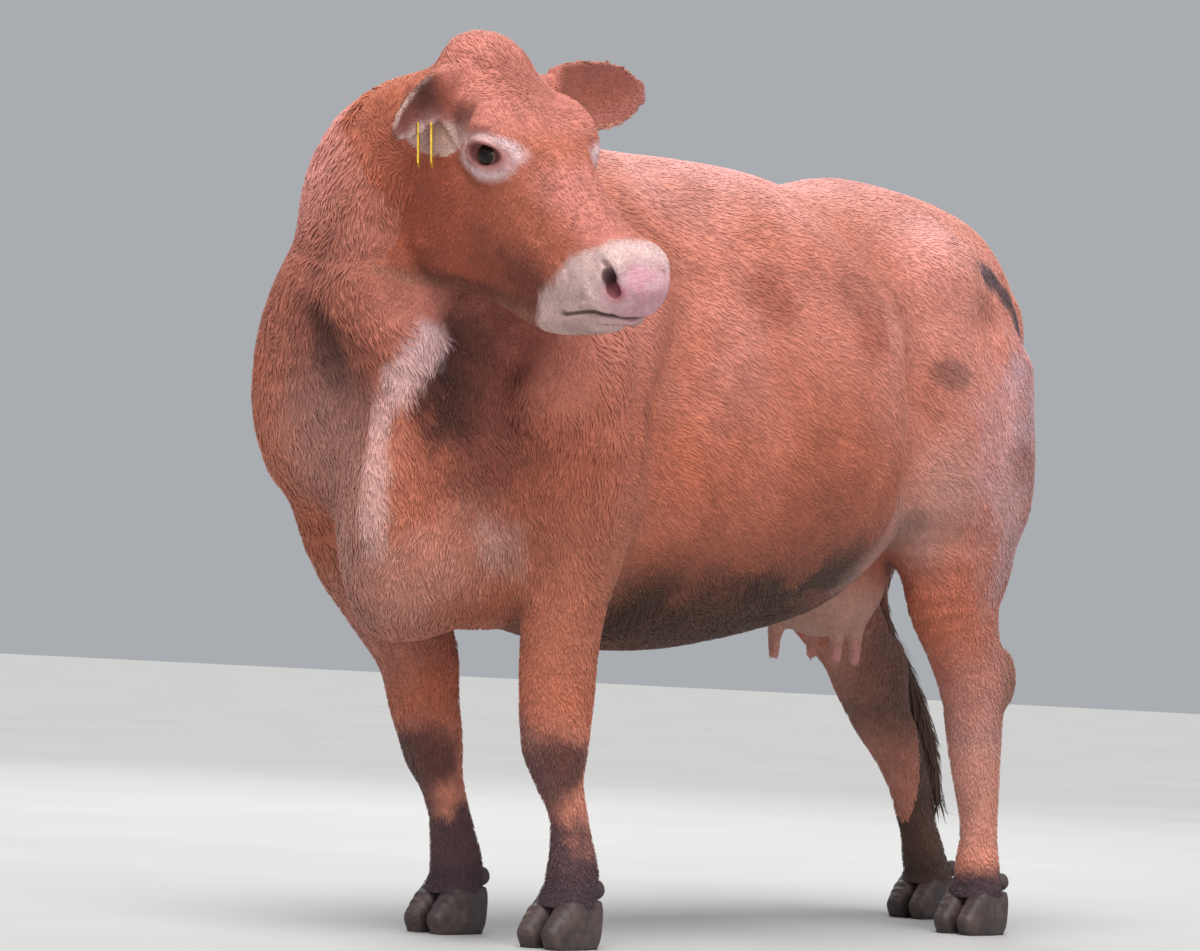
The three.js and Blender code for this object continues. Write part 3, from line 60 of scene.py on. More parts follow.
# ------------------------------------------------------------------ shape tables (table units)
# head frame: origin at the poll, turned to the cow's left, nose down, far side tipped up
HEAD = {"O":[0.209,-0.881,1.496], "turn":87.9, "pitch":42.9, "roll":-7.7, "size":1.12}
# trunk stations: y, top, bottom, half width, section exponent
TRUNK = [
  [-0.76,1.10,0.62,0.170,2.1],
  [-0.64,1.27,0.56,0.235,2.2],
  [-0.46,1.37,0.525,0.268,2.2],
  [-0.25,1.385,0.502,0.315,2.2],
  [-0.05,1.39,0.525,0.350,2.2],
  [0.10,1.38,0.560,0.357,2.15],
  [0.24,1.39,0.640,0.325,2.15],
  [0.40,1.41,0.735,0.290,2.2],
  [0.60,1.40,0.79,0.255,2.15],
  [0.72,1.37,0.84,0.195,2.1],
  [0.80,1.315,0.95,0.110,2.0]]
# tube "rows": x,y,z, side, front or top, back or bottom, exponent, up x,y,z
NECK = [
  [0.00,-0.42,1.08, 0.15,0.25,0.30,2.1, 0,0.2,1],
  [-0.01,-0.60,1.08, 0.20,0.27,0.33,2.1, 0,0.35,1],
  [-0.05,-0.73,1.09, 0.225,0.25,0.29,2.1, -0.25,0.6,1],
  [-0.065,-0.80,1.18, 0.158,0.180,0.24,2.1, -0.5,0.65,1],
  [-0.025,-0.85,1.27, 0.128,0.122,0.19,2.1, -0.7,0.5,0.9],
  [0.06,-0.87,1.34, 0.12,0.090,0.165,2.1, -0.6,0.2,1],
  [0.17,-0.875,1.375, 0.11,0.076,0.15,2.1, -0.4,0,1]]
DEWLAP = [
  [0.10,-0.84,1.10,0.030,0.05,0.05,2, 0,1,0],
  [0.065,-0.855,0.98,0.028,0.06,0.05,2, 0,1,0],
  [0.04,-0.86,0.84,0.028,0.06,0.06,2, 0,1,0],
  [0.03,-0.86,0.70,0.035,0.07,0.06,2, 0,1,0],
  [0.00,-0.80,0.56,0.050,0.06,0.05,2, 0,1,0.3]]
SHOULDER = [
  [0.09,-0.40,1.28,0.050,0.10,0.10,2, 0,1,0],
  [0.175,-0.50,1.14,0.070,0.13,0.13,2, 0,1,0.3],
  [0.222,-0.63,1.00,0.080,0.13,0.12,2, 0,1,0.5],
  [0.222,-0.72,0.90,0.075,0.10,0.10,2, 0,1,0.5]]
SHOULDER_RIGHT = [
  [-0.09,-0.42,1.28,0.050,0.10,0.10,2, 0,1,0],
  [-0.175,-0.53,1.14,0.070,0.13,0.13,2, 0,1,0.3],
  [-0.215,-0.69,1.01,0.080,0.13,0.12,2, 0,1,0.5],
  [-0.218,-0.765,0.91,0.085,0.108,0.10,2, 0,1,0.5],
  [-0.215,-0.755,0.82,0.080,0.095,0.10,2, 0,1,0.2]]
# leg "rows": x,y,z, side, front, rear
FORE_LEFT = [
  [0.205,-0.60,0.84,0.095,0.110,0.115],
  [0.200,-0.58,0.74,0.088,0.100,0.118],
  [0.192,-0.575,0.655,0.078,0.088,0.098],
  [0.187,-0.582,0.585,0.070,0.080,0.080],
  [0.185,-0.587,0.50,0.064,0.073,0.069],
  [0.185,-0.588,0.416,0.062,0.066,0.064],
  [0.185,-0.586,0.377,0.060,0.064,0.057],
  [0.185,-0.582,0.33,0.056,0.058,0.050],
  [0.185,-0.570,0.28,0.041,0.042,0.043],
  [0.185,-0.555,0.25,0.034,0.036,0.038],
  [0.185,-0.541,0.213,0.032,0.034,0.037],
  [0.185,-0.531,0.165,0.037,0.038,0.043],
  [0.185,-0.526,0.131,0.044,0.043,0.048],
  [0.185,-0.527,0.102,0.045,0.043,0.046],
  [0.185,-0.534,0.075,0.0525,0.044,0.047],
  [0.185,-0.542,0.055,0.054,0.046,0.046]]
FORE_RIGHT = [
  [-0.212,-0.725,0.84,0.095,0.112,0.130],
  [-0.220,-0.685,0.74,0.090,0.112,0.130],
  [-0.215,-0.645,0.655,0.086,0.105,0.112],
  [-0.196,-0.595,0.575,0.080,0.092,0.092],
  [-0.168,-0.552,0.487,0.068,0.078,0.075],
  [-0.150,-0.547,0.401,0.060,0.064,0.064],
  [-0.142,-0.535,0.351,0.056,0.060,0.055],
  [-0.137,-0.527,0.308,0.051,0.053,0.050],
  [-0.132,-0.512,0.264,0.039,0.040,0.042],
  [-0.129,-0.500,0.229,0.035,0.037,0.040],
  [-0.126,-0.490,0.193,0.036,0.037,0.042],
  [-0.124,-0.481,0.154,0.041,0.041,0.047],
  [-0.122,-0.474,0.123,0.045,0.044,0.049],
  [-0.120,-0.474,0.095,0.045,0.043,0.047],
  [-0.120,-0.480,0.075,0.0525,0.044,0.047],
  [-0.120,-0.487,0.055,0.054,0.046,0.046]]
HIND_LEFT = [
  [0.145,0.585,1.08,0.115,0.235,0.20],
  [0.168,0.555,0.92,0.115,0.245,0.225],
  [0.185,0.540,0.80,0.105,0.205,0.205],
  [0.192,0.545,0.704,0.088,0.150,0.155],
  [0.197,0.545,0.629,0.072,0.118,0.123],
  [0.195,0.575,0.555,0.060,0.085,0.100],
  [0.195,0.605,0.499,0.056,0.075,0.092],
  [0.195,0.622,0.458,0.055,0.070,0.085],
  [0.195,0.625,0.425,0.052,0.062,0.072],
  [0.195,0.637,0.346,0.047,0.054,0.060],
  [0.195,0.650,0.282,0.041,0.047,0.050],
  [0.195,0.660,0.229,0.036,0.040,0.043],
  [0.195,0.664,0.181,0.035,0.038,0.041],
  [0.195,0.664,0.132,0.042,0.042,0.045],
  [0.195,0.666,0.095,0.044,0.042,0.045],
  [0.195,0.664,0.075,0.0525,0.044,0.047],
  [0.195,0.658,0.055,0.054,0.046,0.046]]
HIND_RIGHT = [
  [-0.148,0.605,1.08,0.115,0.23,0.20],
  [-0.172,0.585,0.92,0.118,0.235,0.215],
  [-0.190,0.590,0.80,0.108,0.200,0.195],
  [-0.197,0.630,0.70,0.090,0.145,0.155],
  [-0.190,0.680,0.62,0.074,0.112,0.120],
  [-0.180,0.745,0.546,0.062,0.090,0.095],
  [-0.170,0.785,0.469,0.058,0.078,0.086],
  [-0.160,0.825,0.397,0.053,0.065,0.070],
  [-0.150,0.860,0.346,0.048,0.055,0.060],
  [-0.140,0.897,0.275,0.040,0.045,0.049],
  [-0.135,0.917,0.215,0.036,0.041,0.044],
  [-0.130,0.928,0.177,0.036,0.039,0.042],
  [-0.125,0.940,0.133,0.042,0.042,0.045],
  [-0.120,0.950,0.095,0.044,0.042,0.045],
  [-0.120,0.952,0.075,0.0525,0.044,0.047],
  [-0.120,0.946,0.055,0.054,0.046,0.046]]
TAIL = [
  [0,0.70,1.335,0.040,0.035,0.035,2, 0,0,1],
  [0,0.79,1.305,0.038,0.036,0.036,2, 0,0.5,1],
  [-0.005,0.866,1.23,0.027,0.027,0.027,2, 0,1,0.2],
  [-0.04,0.908,1.10,0.021,0.021,0.021,2, 0,1,0],
  [-0.11,0.912,0.94,0.018,0.018,0.018,2, 0,1,0],
  [-0.18,0.895,0.78,0.016,0.016,0.016,2, 0,1,0],
  [-0.22,0.885,0.64,0.017,0.017,0.017,2, 0,1,0]]
SWITCH = [
  [-0.22,0.885,0.64,0.018,0.018,0.018,2, 0,1,0],
  [-0.215,0.905,0.55,0.028,0.026,0.026,2, 0,1,0],
  [-0.185,0.935,0.45,0.036,0.030,0.030,2, 0,1,0],
  [-0.155,0.965,0.34,0.032,0.026,0.026,2, 0,1,0],
  [-0.135,0.995,0.23,0.014,0.012,0.012,2, 0,1,0]]
FEET = [[0.185,-0.541],[-0.120,-0.486],[0.195,0.660],[-0.120,0.948]]
TEATS = [[0.060,0.365,0.496],[-0.060,0.330,0.498],[0.052,0.435,0.493],[-0.065,0.455,0.502]]
# head stations: along the face, half width, top, bottom, exponent
SKULL = [
  [0.008,0.055,0.002,-0.11,2.2],
  [0.04,0.080,0.010,-0.15,2.3],
  [0.09,0.094,0.008,-0.20,2.5],
  [0.14,0.098,0.001,-0.24,2.6],
  [0.19,0.094,-0.004,-0.25,2.6],
  [0.25,0.080,-0.010,-0.24,2.6],
  [0.31,0.066,-0.017,-0.215,2.5],
  [0.37,0.057,-0.023,-0.185,2.5],
  [0.42,0.056,-0.021,-0.155,2.5],
  [0.455,0.0585,-0.025,-0.138,2.7],
  [0.482,0.0550,-0.033,-0.122,2.7],
  [0.499,0.0420,-0.046,-0.112,2.5]]
JAW = [
  [0.14,-0.262,0.062,0.035],
  [0.22,-0.252,0.052,0.034],
  [0.30,-0.230,0.044,0.032],
  [0.38,-0.202,0.040,0.032],
  [0.435,-0.166,0.038,0.024],
  [0.468,-0.143,0.031,0.016]]
# ear rows, head frame: l,s,u, half width, half thickness, cup ; the opening faces N
EAR_LEFT = {"N":[-0.2,0.75,0.60], "rows":[
  [0.066,0.074,-0.056,0.030,0.028,0.000],
  [0.100,0.078,-0.052,0.043,0.020,0.010],
  [0.142,0.082,-0.046,0.060,0.0105,0.026],
  [0.190,0.088,-0.038,0.062,0.0090,0.030],
  [0.230,0.093,-0.030,0.048,0.0080,0.022],
  [0.258,0.096,-0.023,0.020,0.0065,0.006]]}
EAR_RIGHT = {"N":[0.1,0.85,0.50], "rows":[
  [-0.068,0.064,-0.040,0.030,0.028,0.000],
  [-0.096,0.070,-0.044,0.034,0.020,0.008],
  [-0.124,0.080,-0.058,0.041,0.0105,0.018],
  [-0.149,0.092,-0.078,0.040,0.0090,0.020],
  [-0.168,0.102,-0.094,0.031,0.0075,0.013],
  [-0.179,0.109,-0.105,0.015,0.0060,0.004]]}
EYE = {"at":[0.0795,0.198,-0.066], "r":0.0185, "depth":0.003, "open":[0.0195,0.0115]}
# blobs: centre x,y,z, radii, blend ; "mirror" puts one on each side
BLOBS = [
  ["mid",[0,-0.755,0.755],[0.150,0.130,0.215],0.12],
  ["mid",[0,-0.64,0.64],[0.14,0.20,0.11],0.08],
  ["mid",[-0.188,-0.80,0.945],[0.110,0.125,0.20],0.09],
  ["pair",[0.235,-0.60,0.88],[0.070,0.11,0.19],0.06],
  ["pair",[0.235,0.395,1.235],[0.045,0.08,0.055],0.09],
  ["pair",[0.085,0.805,1.17],[0.050,0.05,0.08],0.09],
  ["pair",[0.225,0.40,0.84],[0.05,0.09,0.09],0.08],
  ["mid",[0.194,0.712,0.487],[0.028,0.040,0.060],0.085],
  ["mid",[-0.168,0.862,0.495],[0.028,0.040,0.060],0.085],
  ["bag",[0.005,0.385,0.665],[0.118,0.135,0.118],0.035]]
# soft swellings (+) and hollows (-): kind, centre, radii, amount
SWELLS = [
  ["mid",[0.165,-0.850,0.905],[0.050,0.070,0.115],-0.060],
  ["mid",[0.215,-0.800,0.960],[0.050,0.080,0.085],-0.036],
  ["mid",[0.135,-0.860,0.760],[0.035,0.050,0.080],-0.022],
  ["mid",[0.095,-0.895,0.870],[0.024,0.040,0.130],0.016],
  ["mid",[-0.015,-0.945,0.930],[0.035,0.060,0.150],-0.020],
  ["mid",[0.320,-0.555,0.930],[0.035,0.022,0.170],-0.016],
  ["pair",[0.315,0.285,0.97],[0.13,0.085,0.24],-0.070],
  ["pair",[0.22,0.20,1.25],[0.08,0.11,0.06],-0.018],
  ["mid",[0,0.36,1.41],[0.05,0.20,0.05],0.010],
  ["pair",[0.12,-0.30,1.33],[0.06,0.10,0.07],-0.012],
  ["pair",[0.29,0.62,1.02],[0.08,0.08,0.16],0.014],
  ["pair",[0.24,0.76,0.98],[0.06,0.03,0.16],-0.012],
  ["pair",[0.20,0.80,0.92],[0.08,0.05,0.14],0.012],
  ["pair",[0.28,-0.40,0.98],[0.06,0.05,0.22],-0.020],
  ["pair",[0.24,0.43,0.74],[0.06,0.09,0.035],-0.016]]
FLANK = [
  [0.15,0.14,0.665,0.028,0.030,0.030,2, 0,0,1],
  [0.200,0.225,0.765,0.022,0.030,0.030,2, 0,0,1],
  [0.225,0.31,0.87,0.028,0.035,0.035,2, 0,0,1]]

# ------------------------------------------------------------------ vector and field helpers
def unit(v):
    v = np.asarray(v, float)
    return v / np.maximum(np.linalg.norm(v, axis=-1, keepdims=True), 1e-12)


def head_frame():
    d = math.pi / 180
    t, p, r = HEAD["turn"] * d, HEAD["pitch"] * d, HEAD["roll"] * d
    h = np.array([math.sin(t), -math.cos(t), 0.0])
    F = np.array([math.cos(p) * h[0], math.cos(p) * h[1], -math.sin(p)])
    U = np.array([math.sin(p) * h[0], math.sin(p) * h[1], math.cos(p)])
    L = np.cross(U, F)
    return F, U * math.cos(r) + L * math.sin(r), L * math.cos(r) - U * math.sin(r), np.array(HEAD["O"])


HF, HU, HL, HO = head_frame()
HS = HEAD["size"]


def on_head(l, s, u):
    return HO + HS * (HL * l + HF * s + HU * u)


def head_dir(l, s, u):
    return unit(HL * l + HF * s + HU * u)


def to_head(P):
    q = (P - HO) / HS
    return q @ HL, q @ HF, q @ HU


def spline(rows, per):
    rows = np.array(rows, float)
    out = []
    n = len(rows)
    for i in range(n - 1):
        a, b, c, d = rows[max(0, i - 1)], rows[i], rows[i + 1], rows[min(n - 1, i + 2)]
        for j in range(per):
            t = j / per
            out.append(0.5 * (2 * b + (c - a) * t + (2 * a - 5 * b + 4 * c - d) * t * t + (3 * b - a - 3 * c + d) * t ** 3))
    out.append(rows[-1])
    return np.array(out)


def tube(rows, per=4, k=0.03, cap=1.0, leaf=False):
    st = spline(rows, per)
    P = st[:, :3]
    n = len(P)
    T = unit(np.array([P[min(n - 1, i + 1)] - P[max(0, i - 1)] for i in range(n)]))
    L = unit(np.cross(st[:, 7:10], T))
    V = np.cross(T, L)
    w = np.zeros(n) if st.shape[1] < 11 else st[:, 10]
    segs = []
    for i in range(n - 1):
        R = max(st[i, 3:6].max(), st[i + 1, 3:6].max()) * max(1, cap)
        segs.append((P[i], P[i + 1] - P[i], L[i], L[i + 1], V[i], V[i + 1], st[i, 3:7], st[i + 1, 3:7], w[i], w[i + 1],
                     (P[i] + P[i + 1]) / 2, np.linalg.norm(P[i + 1] - P[i]) / 2 + 1.1 * R))
    R = st[:, 3:6].max() * max(1, cap) + k + 0.045
    return dict(kind="tube", segs=segs, k=k, cap=cap, leaf=leaf, lo=P.min(0) - R, hi=P.max(0) + R)


def ell(c, r, axes=None, k=0.03, cut=False, amp=None):
    c, r = np.array(c, float), np.array(r, float)
    A = np.eye(3) if axes is None else np.array(axes)
    R = r.max() * (1 if amp is None else 2.3) + (k + 0.045 if amp is None else 0)
    return dict(kind="ell" if amp is None else "bump", c=c, r=r, A=A, k=k, cut=cut, amp=amp, lo=c - R, hi=c + R)


def ridge(pts, width, amp, per=4):
    st = spline(pts, per)
    R = 2.4 * width
    return dict(kind="ridge", st=st, width=width, amp=amp, lo=st[:, :3].min(0) - R, hi=st[:, :3].max(0) + R)


def seg_dist(s, P, cap, leaf):
    q = P - s[0]
    dd = float(s[1] @ s[1])
    t = (q @ s[1]) / dd
    tt = np.clip(t, 0, 1)
    c = q - tt[:, None] * s[1]
    Lv = s[2] + (s[3] - s[2]) * tt[:, None]
    Vv = s[4] + (s[5] - s[4]) * tt[:, None]
    u = (c * Lv).sum(1)
    v = (c * Vv).sum(1)
    w = (t - tt) * math.sqrt(dd)
    m = s[6] + (s[7] - s[6]) * tt[:, None]
    a = m[:, 0]
    b = np.where(v > 0, m[:, 1], m[:, 2])
    if leaf:
        e = u / a
        v = v - (s[8] + (s[9] - s[8]) * tt) * (e * e - 0.35)
        return (np.sqrt(e * e + v * v / (b * b) + w * w / (b * b)) - 1) * b
    cc = np.minimum(a, b) * cap
    n = m[:, 3]
    q = np.sqrt((c * c).sum(1))
    if abs(s[6][3] - 2) < 1e-9 and abs(s[7][3] - 2) < 1e-9:
        r = np.sqrt((u / a) ** 2 + (v / b) ** 2 + (w / cc) ** 2)
    else:
        r = (np.abs(u / a) ** n + np.abs(v / b) ** n + np.abs(w / cc) ** n) ** (1 / n)
    return np.where(q < 1e-6, -np.minimum(a, b), q - q / np.maximum(r, 1e-9))


def field(prims, P):
    f = np.full(len(P), 10.0)
    for p in prims:
        idx = np.nonzero(((P > p["lo"]) & (P < p["hi"])).all(1))[0]
        if not len(idx):
            continue
        Q = P[idx]
        if p["kind"] == "tube":
            d = np.full(len(Q), 1e3)
            for s in p["segs"]:
                near = np.nonzero(((Q - s[10]) ** 2).sum(1) < (s[11] + p["k"] + 0.03) ** 2)[0]
                if len(near):
                    d[near] = np.minimum(d[near], seg_dist(s, Q[near], p["cap"], p["leaf"]))
        elif p["kind"] == "ridge":
            best = np.full(len(Q), 1e9)
            sc = np.zeros(len(Q))
            st = p["st"]
            for i in range(len(st) - 1):
                a, e = st[i, :3], st[i + 1, :3] - st[i, :3]
                t = np.clip(((Q - a) @ e) / (e @ e), 0, 1)
                g = ((Q - a - t[:, None] * e) ** 2).sum(1)
                m = g < best
                best = np.where(m, g, best)
                sc = np.where(m, st[i, 3] + (st[i + 1, 3] - st[i, 3]) * t, sc)
            f[idx] -= p["amp"] * sc * np.exp(-best / p["width"] ** 2)
            continue
        else:
            g = ((Q - p["c"]) @ p["A"].T) / p["r"]
            s = (g * g).sum(1)
            if p["kind"] == "bump":
                f[idx] -= np.where(s < 5.3, p["amp"] * np.exp(-s), 0)
                continue
            k0 = np.sqrt(s)
            k1 = np.sqrt(((g / p["r"]) ** 2).sum(1))
            d = np.where(k1 < 1e-9, -p["r"].min(), k0 * (k0 - 1) / np.maximum(k1, 1e-9))
        k = p["k"]
        F = f[idx]
        if p.get("cut"):
            d = -d
            h = np.maximum(k - np.abs(F - d), 0) / k
            f[idx] = np.maximum(F, d) + h * h * k * 0.25
        else:
            h = np.maximum(k - np.abs(F - d), 0) / k
            f[idx] = np.minimum(F, d) - h * h * k * 0.25
    return f


def flip(r):
    r = list(r)
    r[0], r[7] = -r[0], -r[7]
    return r


# ------------------------------------------------------------------ the body
flesh = []
claws = []
flesh.append(tube([[0, r[0], r[2] + (r[1] - r[2]) * 0.47, r[3], (r[1] - r[2]) * 0.53, (r[1] - r[2]) * 0.47, r[4], 0, 0, 1] for r in TRUNK], per=9, k=0.05, cap=0.5))
flesh.append(tube(NECK, per=9, k=0.08, cap=0.6))
flesh.append(tube(DEWLAP, per=3, k=0.045, cap=0.8))
flesh.append(tube(SHOULDER, per=3, k=0.06, cap=0.9))
flesh.append(tube(SHOULDER_RIGHT, per=3, k=0.06, cap=0.9))
for m, c, r, k in BLOBS:
    flesh.append(ell(c, r, k=k))
    if m == "pair":
        flesh.append(ell([-c[0], c[1], c[2]], r, k=k))
for rows, k in ((FORE_LEFT, 0.045), (FORE_RIGHT, 0.045), (HIND_LEFT, 0.05), (HIND_RIGHT, 0.05)):
    flesh.append(tube([list(r) + [2.1, 0, -1, 0] for r in rows], per=4, k=k, cap=0.5))
flesh.append(tube(FLANK, per=3, k=0.05, cap=1))
flesh.append(tube([flip(r) for r in FLANK], per=3, k=0.05, cap=1))
for f, (x, y) in enumerate(FEET):
    for c in (1, -1):
        claws.append((f, c, [tube([[x + c * 0.0265, y + 0.028, 0.040, 0.0265, 0.055, 0.048, 2.8, 0, 0, 1],
                                   [x + c * 0.0275, y - 0.012, 0.040, 0.0270, 0.045, 0.048, 2.8, 0, 0, 1],
                                   [x + c * 0.0265, y - 0.055, 0.020, 0.0200, 0.024, 0.028, 2.6, 0, 0, 1]], per=4, k=0.008, cap=0.9)]))
flesh.append(tube(TAIL, per=4, k=0.03))
flesh.append(tube(SWITCH, per=3, k=0.01))
for x, y, zt in TEATS:
    flesh.append(tube([[x * 0.95, y, 0.58, 0.020, 0.020, 0.020, 2, 0, 1, 0], [x, y, 0.54, 0.0135, 0.0135, 0.0135, 2, 0, 1, 0],
                       [x, y, zt + 0.012, 0.0115, 0.0115, 0.0115, 2, 0, 1, 0]], per=2, k=0.02))
for m, c, r, a in SWELLS:
    flesh.append(ell(c, r, amp=a))
    if m == "pair":
        flesh.append(ell([-c[0], c[1], c[2]], r, amp=a))
HA = [HL, HF, HU]
flesh.append(tube([list(on_head(0, r[0], (r[2] + r[3]) / 2)) + [r[1] * HS, (r[2] - r[3]) / 2 * HS, (r[2] - r[3]) / 2 * HS, r[4]] + list(HU) for r in SKULL], per=6, k=0.03, cap=0.4))
flesh.append(ell(on_head(0, 0.03, -0.035), np.array([0.072, 0.06, 0.048]) * HS, HA, 0.03))
for s in (1, -1):
    flesh.append(ell(on_head(s * 0.062, 0.165, -0.215), np.array([0.032, 0.085, 0.085]) * HS, HA, 0.03))
    flesh.append(ell(on_head(s * 0.082, 0.160, -0.040), np.array([0.026, 0.056, 0.034]) * HS, HA, 0.035))
    flesh.append(ell(on_head(s * 0.078, 0.195, -0.064), np.array([0.021, 0.042, 0.036]) * HS, HA, 0.03))
flesh.append(tube([list(on_head(0, r[0], r[1])) + [r[2] * HS, 0.04 * HS, r[3] * HS, 2.2] + list(HU) for r in JAW], per=4, k=0.03))
for e in (EAR_LEFT, EAR_RIGHT):
    N = head_dir(*e["N"])
    flesh.append(tube([list(on_head(*r[:3])) + [r[3] * HS, r[4] * HS, r[4] * HS, 2] + list(N) + [r[5] * HS] for r in e["rows"]], per=4, k=0.015, leaf=True))

# eyes: set so far in that the front just shows between the lids
EYES = []
for s in (1, -1):
    out = HL * s
    c = on_head(s * EYE["at"][0], EYE["at"][1], EYE["at"][2])
    d = np.arange(0, 0.06, 0.0005)
    fv = field(flesh, c + out * d[:, None])
    d = d[np.nonzero(fv >= 0)[0][0]]
    EYES.append((s, c + out * (d - EYE["r"] * HS - EYE["depth"]), c + out * d))

# ------------------------------------------------------------------ face detail
def face_line(pts, width, amp, side=None):
    for s in ((1, -1) if side is None else (side,)):
        flesh.append(ridge([list(on_head(s * l, a, b)) + [w] for l, a, b, w in pts], width * HS, amp * HS))


for s, c, front in EYES:
    ax = head_dir(0, 0.86, 0.50)             # long axis of the lid opening
    out = unit(front - c)
    up = unit(np.cross(out, ax)) * s
    up = up if up @ HU > 0 else -up
    A = [out, ax, up]
    mid = c + out * EYE["r"] * HS * 1.02 + ax * 0.004
    flesh.append(ell(mid, [0.019, 0.0345, 0.0165], A, 0.006, cut=True))
    # lids, the fold over the upper one and the hollow under the lower
    arc = lambda a, b, lift, lo, hi: [list(mid + out * (0.006 - 0.010 * abs(math.cos(t)) ** 2) + ax * math.cos(t) * a + up * (math.sin(t) * b + lift)) + [1.0] for t in np.linspace(lo, hi, 9)]
    flesh.append(ridge(arc(0.0375, 0.0210, 0.0, 0.15, math.pi - 0.15), 0.0055, 0.0042))
    flesh.append(ridge(arc(0.0375, -0.0200, 0.0, 0.15, math.pi - 0.15), 0.0055, 0.0030))
    flesh.append(ridge(arc(0.043, 0.0240, 0.010, 0.35, math.pi - 0.35), 0.0048, -0.0034))
    flesh.append(ridge(arc(0.041, -0.0240, -0.010, 0.35, math.pi - 0.35), 0.0050, -0.0020))
    flesh.append(ridge(arc(0.046, 0.0340, 0.016, 0.5, math.pi - 0.5), 0.0070, 0.0030))
# nostrils: a round opening with a slit that runs up and back, and a raised wing
for s in (1, -1):
    flesh.append(ell(on_head(s * 0.036, 0.448, -0.040), np.array([0.020, 0.026, 0.016]) * HS, HA, 0.02))
    flesh.append(ell(on_head(s * 0.048, 0.470, -0.056), np.array([0.0110, 0.0120, 0.0115]) * HS, HA, 0.006, cut=True))
    flesh.append(ell(on_head(s * 0.040, 0.484, -0.068), np.array([0.0125, 0.0130, 0.0135]) * HS, HA, 0.007, cut=True))
    flesh.append(ell(on_head(s * 0.055, 0.460, -0.046), np.array([0.0080, 0.0120, 0.0050]) * HS, HA, 0.004, cut=True))
    face_line([(0.040, 0.452, -0.030, 0.5), (0.046, 0.468, -0.036, 1), (0.043, 0.488, -0.046, 1), (0.034, 0.500, -0.056, 0.6)], 0.0065, 0.0045, s)
# mouth line, lips, muzzle pad and chin
MOUTH = [(0.056, 0.405, -0.175, 0.3), (0.056, 0.430, -0.163, 1), (0.054, 0.452, -0.140, 1), (0.046, 0.476, -0.117, 1), (0.030, 0.495, -0.106, 1), (0.0, 0.503, -0.103, 1)]
face_line(MOUTH, 0.0048, -0.0105)
face_line([(l * 1.02, a + 0.002, b + 0.013, w) for l, a, b, w in MOUTH], 0.0080, 0.0040)
face_line([(l * 0.98, a + 0.001, b - 0.014, w) for l, a, b, w in MOUTH[1:]], 0.0085, 0.0055)
face_line([(0.0, 0.492, -0.050, 1), (0.0, 0.500, -0.072, 1), (0.0, 0.502, -0.095, 0.6)], 0.004, -0.0025, 1)
face_line([(0.054, 0.440, -0.085, 0.4), (0.056, 0.455, -0.098, 1), (0.050, 0.474, -0.100, 0.7)], 0.008, 0.0030)
# brow crest, cheek crest, vein and jaw hollow
face_line([(0.030, 0.055, 0.006, 0.5), (0.046, 0.11, 0.006, 1), (0.058, 0.165, -0.004, 1), (0.060, 0.22, -0.014, 0.5)], 0.014, 0.0045)
face_line([(0.0, 0.05, 0.01, 0.6), (0.0, 0.12, 0.004, 1), (0.0, 0.19, -0.004, 0.6)], 0.020, -0.0040, 1)
face_line([(0.086, 0.250, -0.105, 0.4), (0.078, 0.30, -0.115, 1), (0.068, 0.35, -0.125, 0.5)], 0.010, 0.0035)
face_line([(0.092, 0.240, -0.175, 0.5), (0.078, 0.30, -0.185, 1), (0.066, 0.355, -0.180, 0.6)], 0.018, -0.0055)
face_line([(0.098, 0.16, -0.120, 0.6), (0.095, 0.20, -0.118, 1), (0.090, 0.24, -0.112, 0.6)], 0.010, -0.0030)
face_line([(0.050, 0.37, -0.10, 0.5), (0.055, 0.40, -0.108, 1), (0.058, 0.43, -0.120, 0.5)], 0.006, -0.0022)


# ------------------------------------------------------------------ skin mesh: sparse sampling, surface nets
def sample_grid(fn, lo, hi, h):
    n = np.ceil((hi - lo) / h / 8).astype(int) * 8
    val = np.ones(n + 1, np.float32)
    blocks = np.stack(np.meshgrid(*[np.arange(k // 8) for k in n], indexing="ij"), -1).reshape(-1, 3)
    size = 8
    while True:
        cen = lo + (blocks + 0.5) * size * h
        f = fn(cen)
        for i, b in enumerate(blocks[f < 0] if size == 8 else ()):
            pass
        inside = blocks[(f < 0) & (np.abs(f) > size * h * 1.05)]
        for b in inside:
            a = b * size
            val[a[0]:a[0] + size, a[1]:a[1] + size, a[2]:a[2] + size] = -1
        blocks = blocks[np.abs(f) <= size * h * 1.05]
        if size == 4:
            break
        o = np.stack(np.meshgrid([0, 1], [0, 1], [0, 1], indexing="ij"), -1).reshape(-1, 3)
        blocks = (blocks[:, None, :] * 2 + o).reshape(-1, 3)
        size = 4
    o = np.stack(np.meshgrid(*[np.arange(4)] * 3, indexing="ij"), -1).reshape(-1, 3)
    for part in np.array_split(blocks, max(1, len(blocks) // 4000)):
        ids = (part[:, None, :] * 4 + o).reshape(-1, 3)
        val[ids[:, 0], ids[:, 1], ids[:, 2]] = fn(lo + ids * h)
    return val


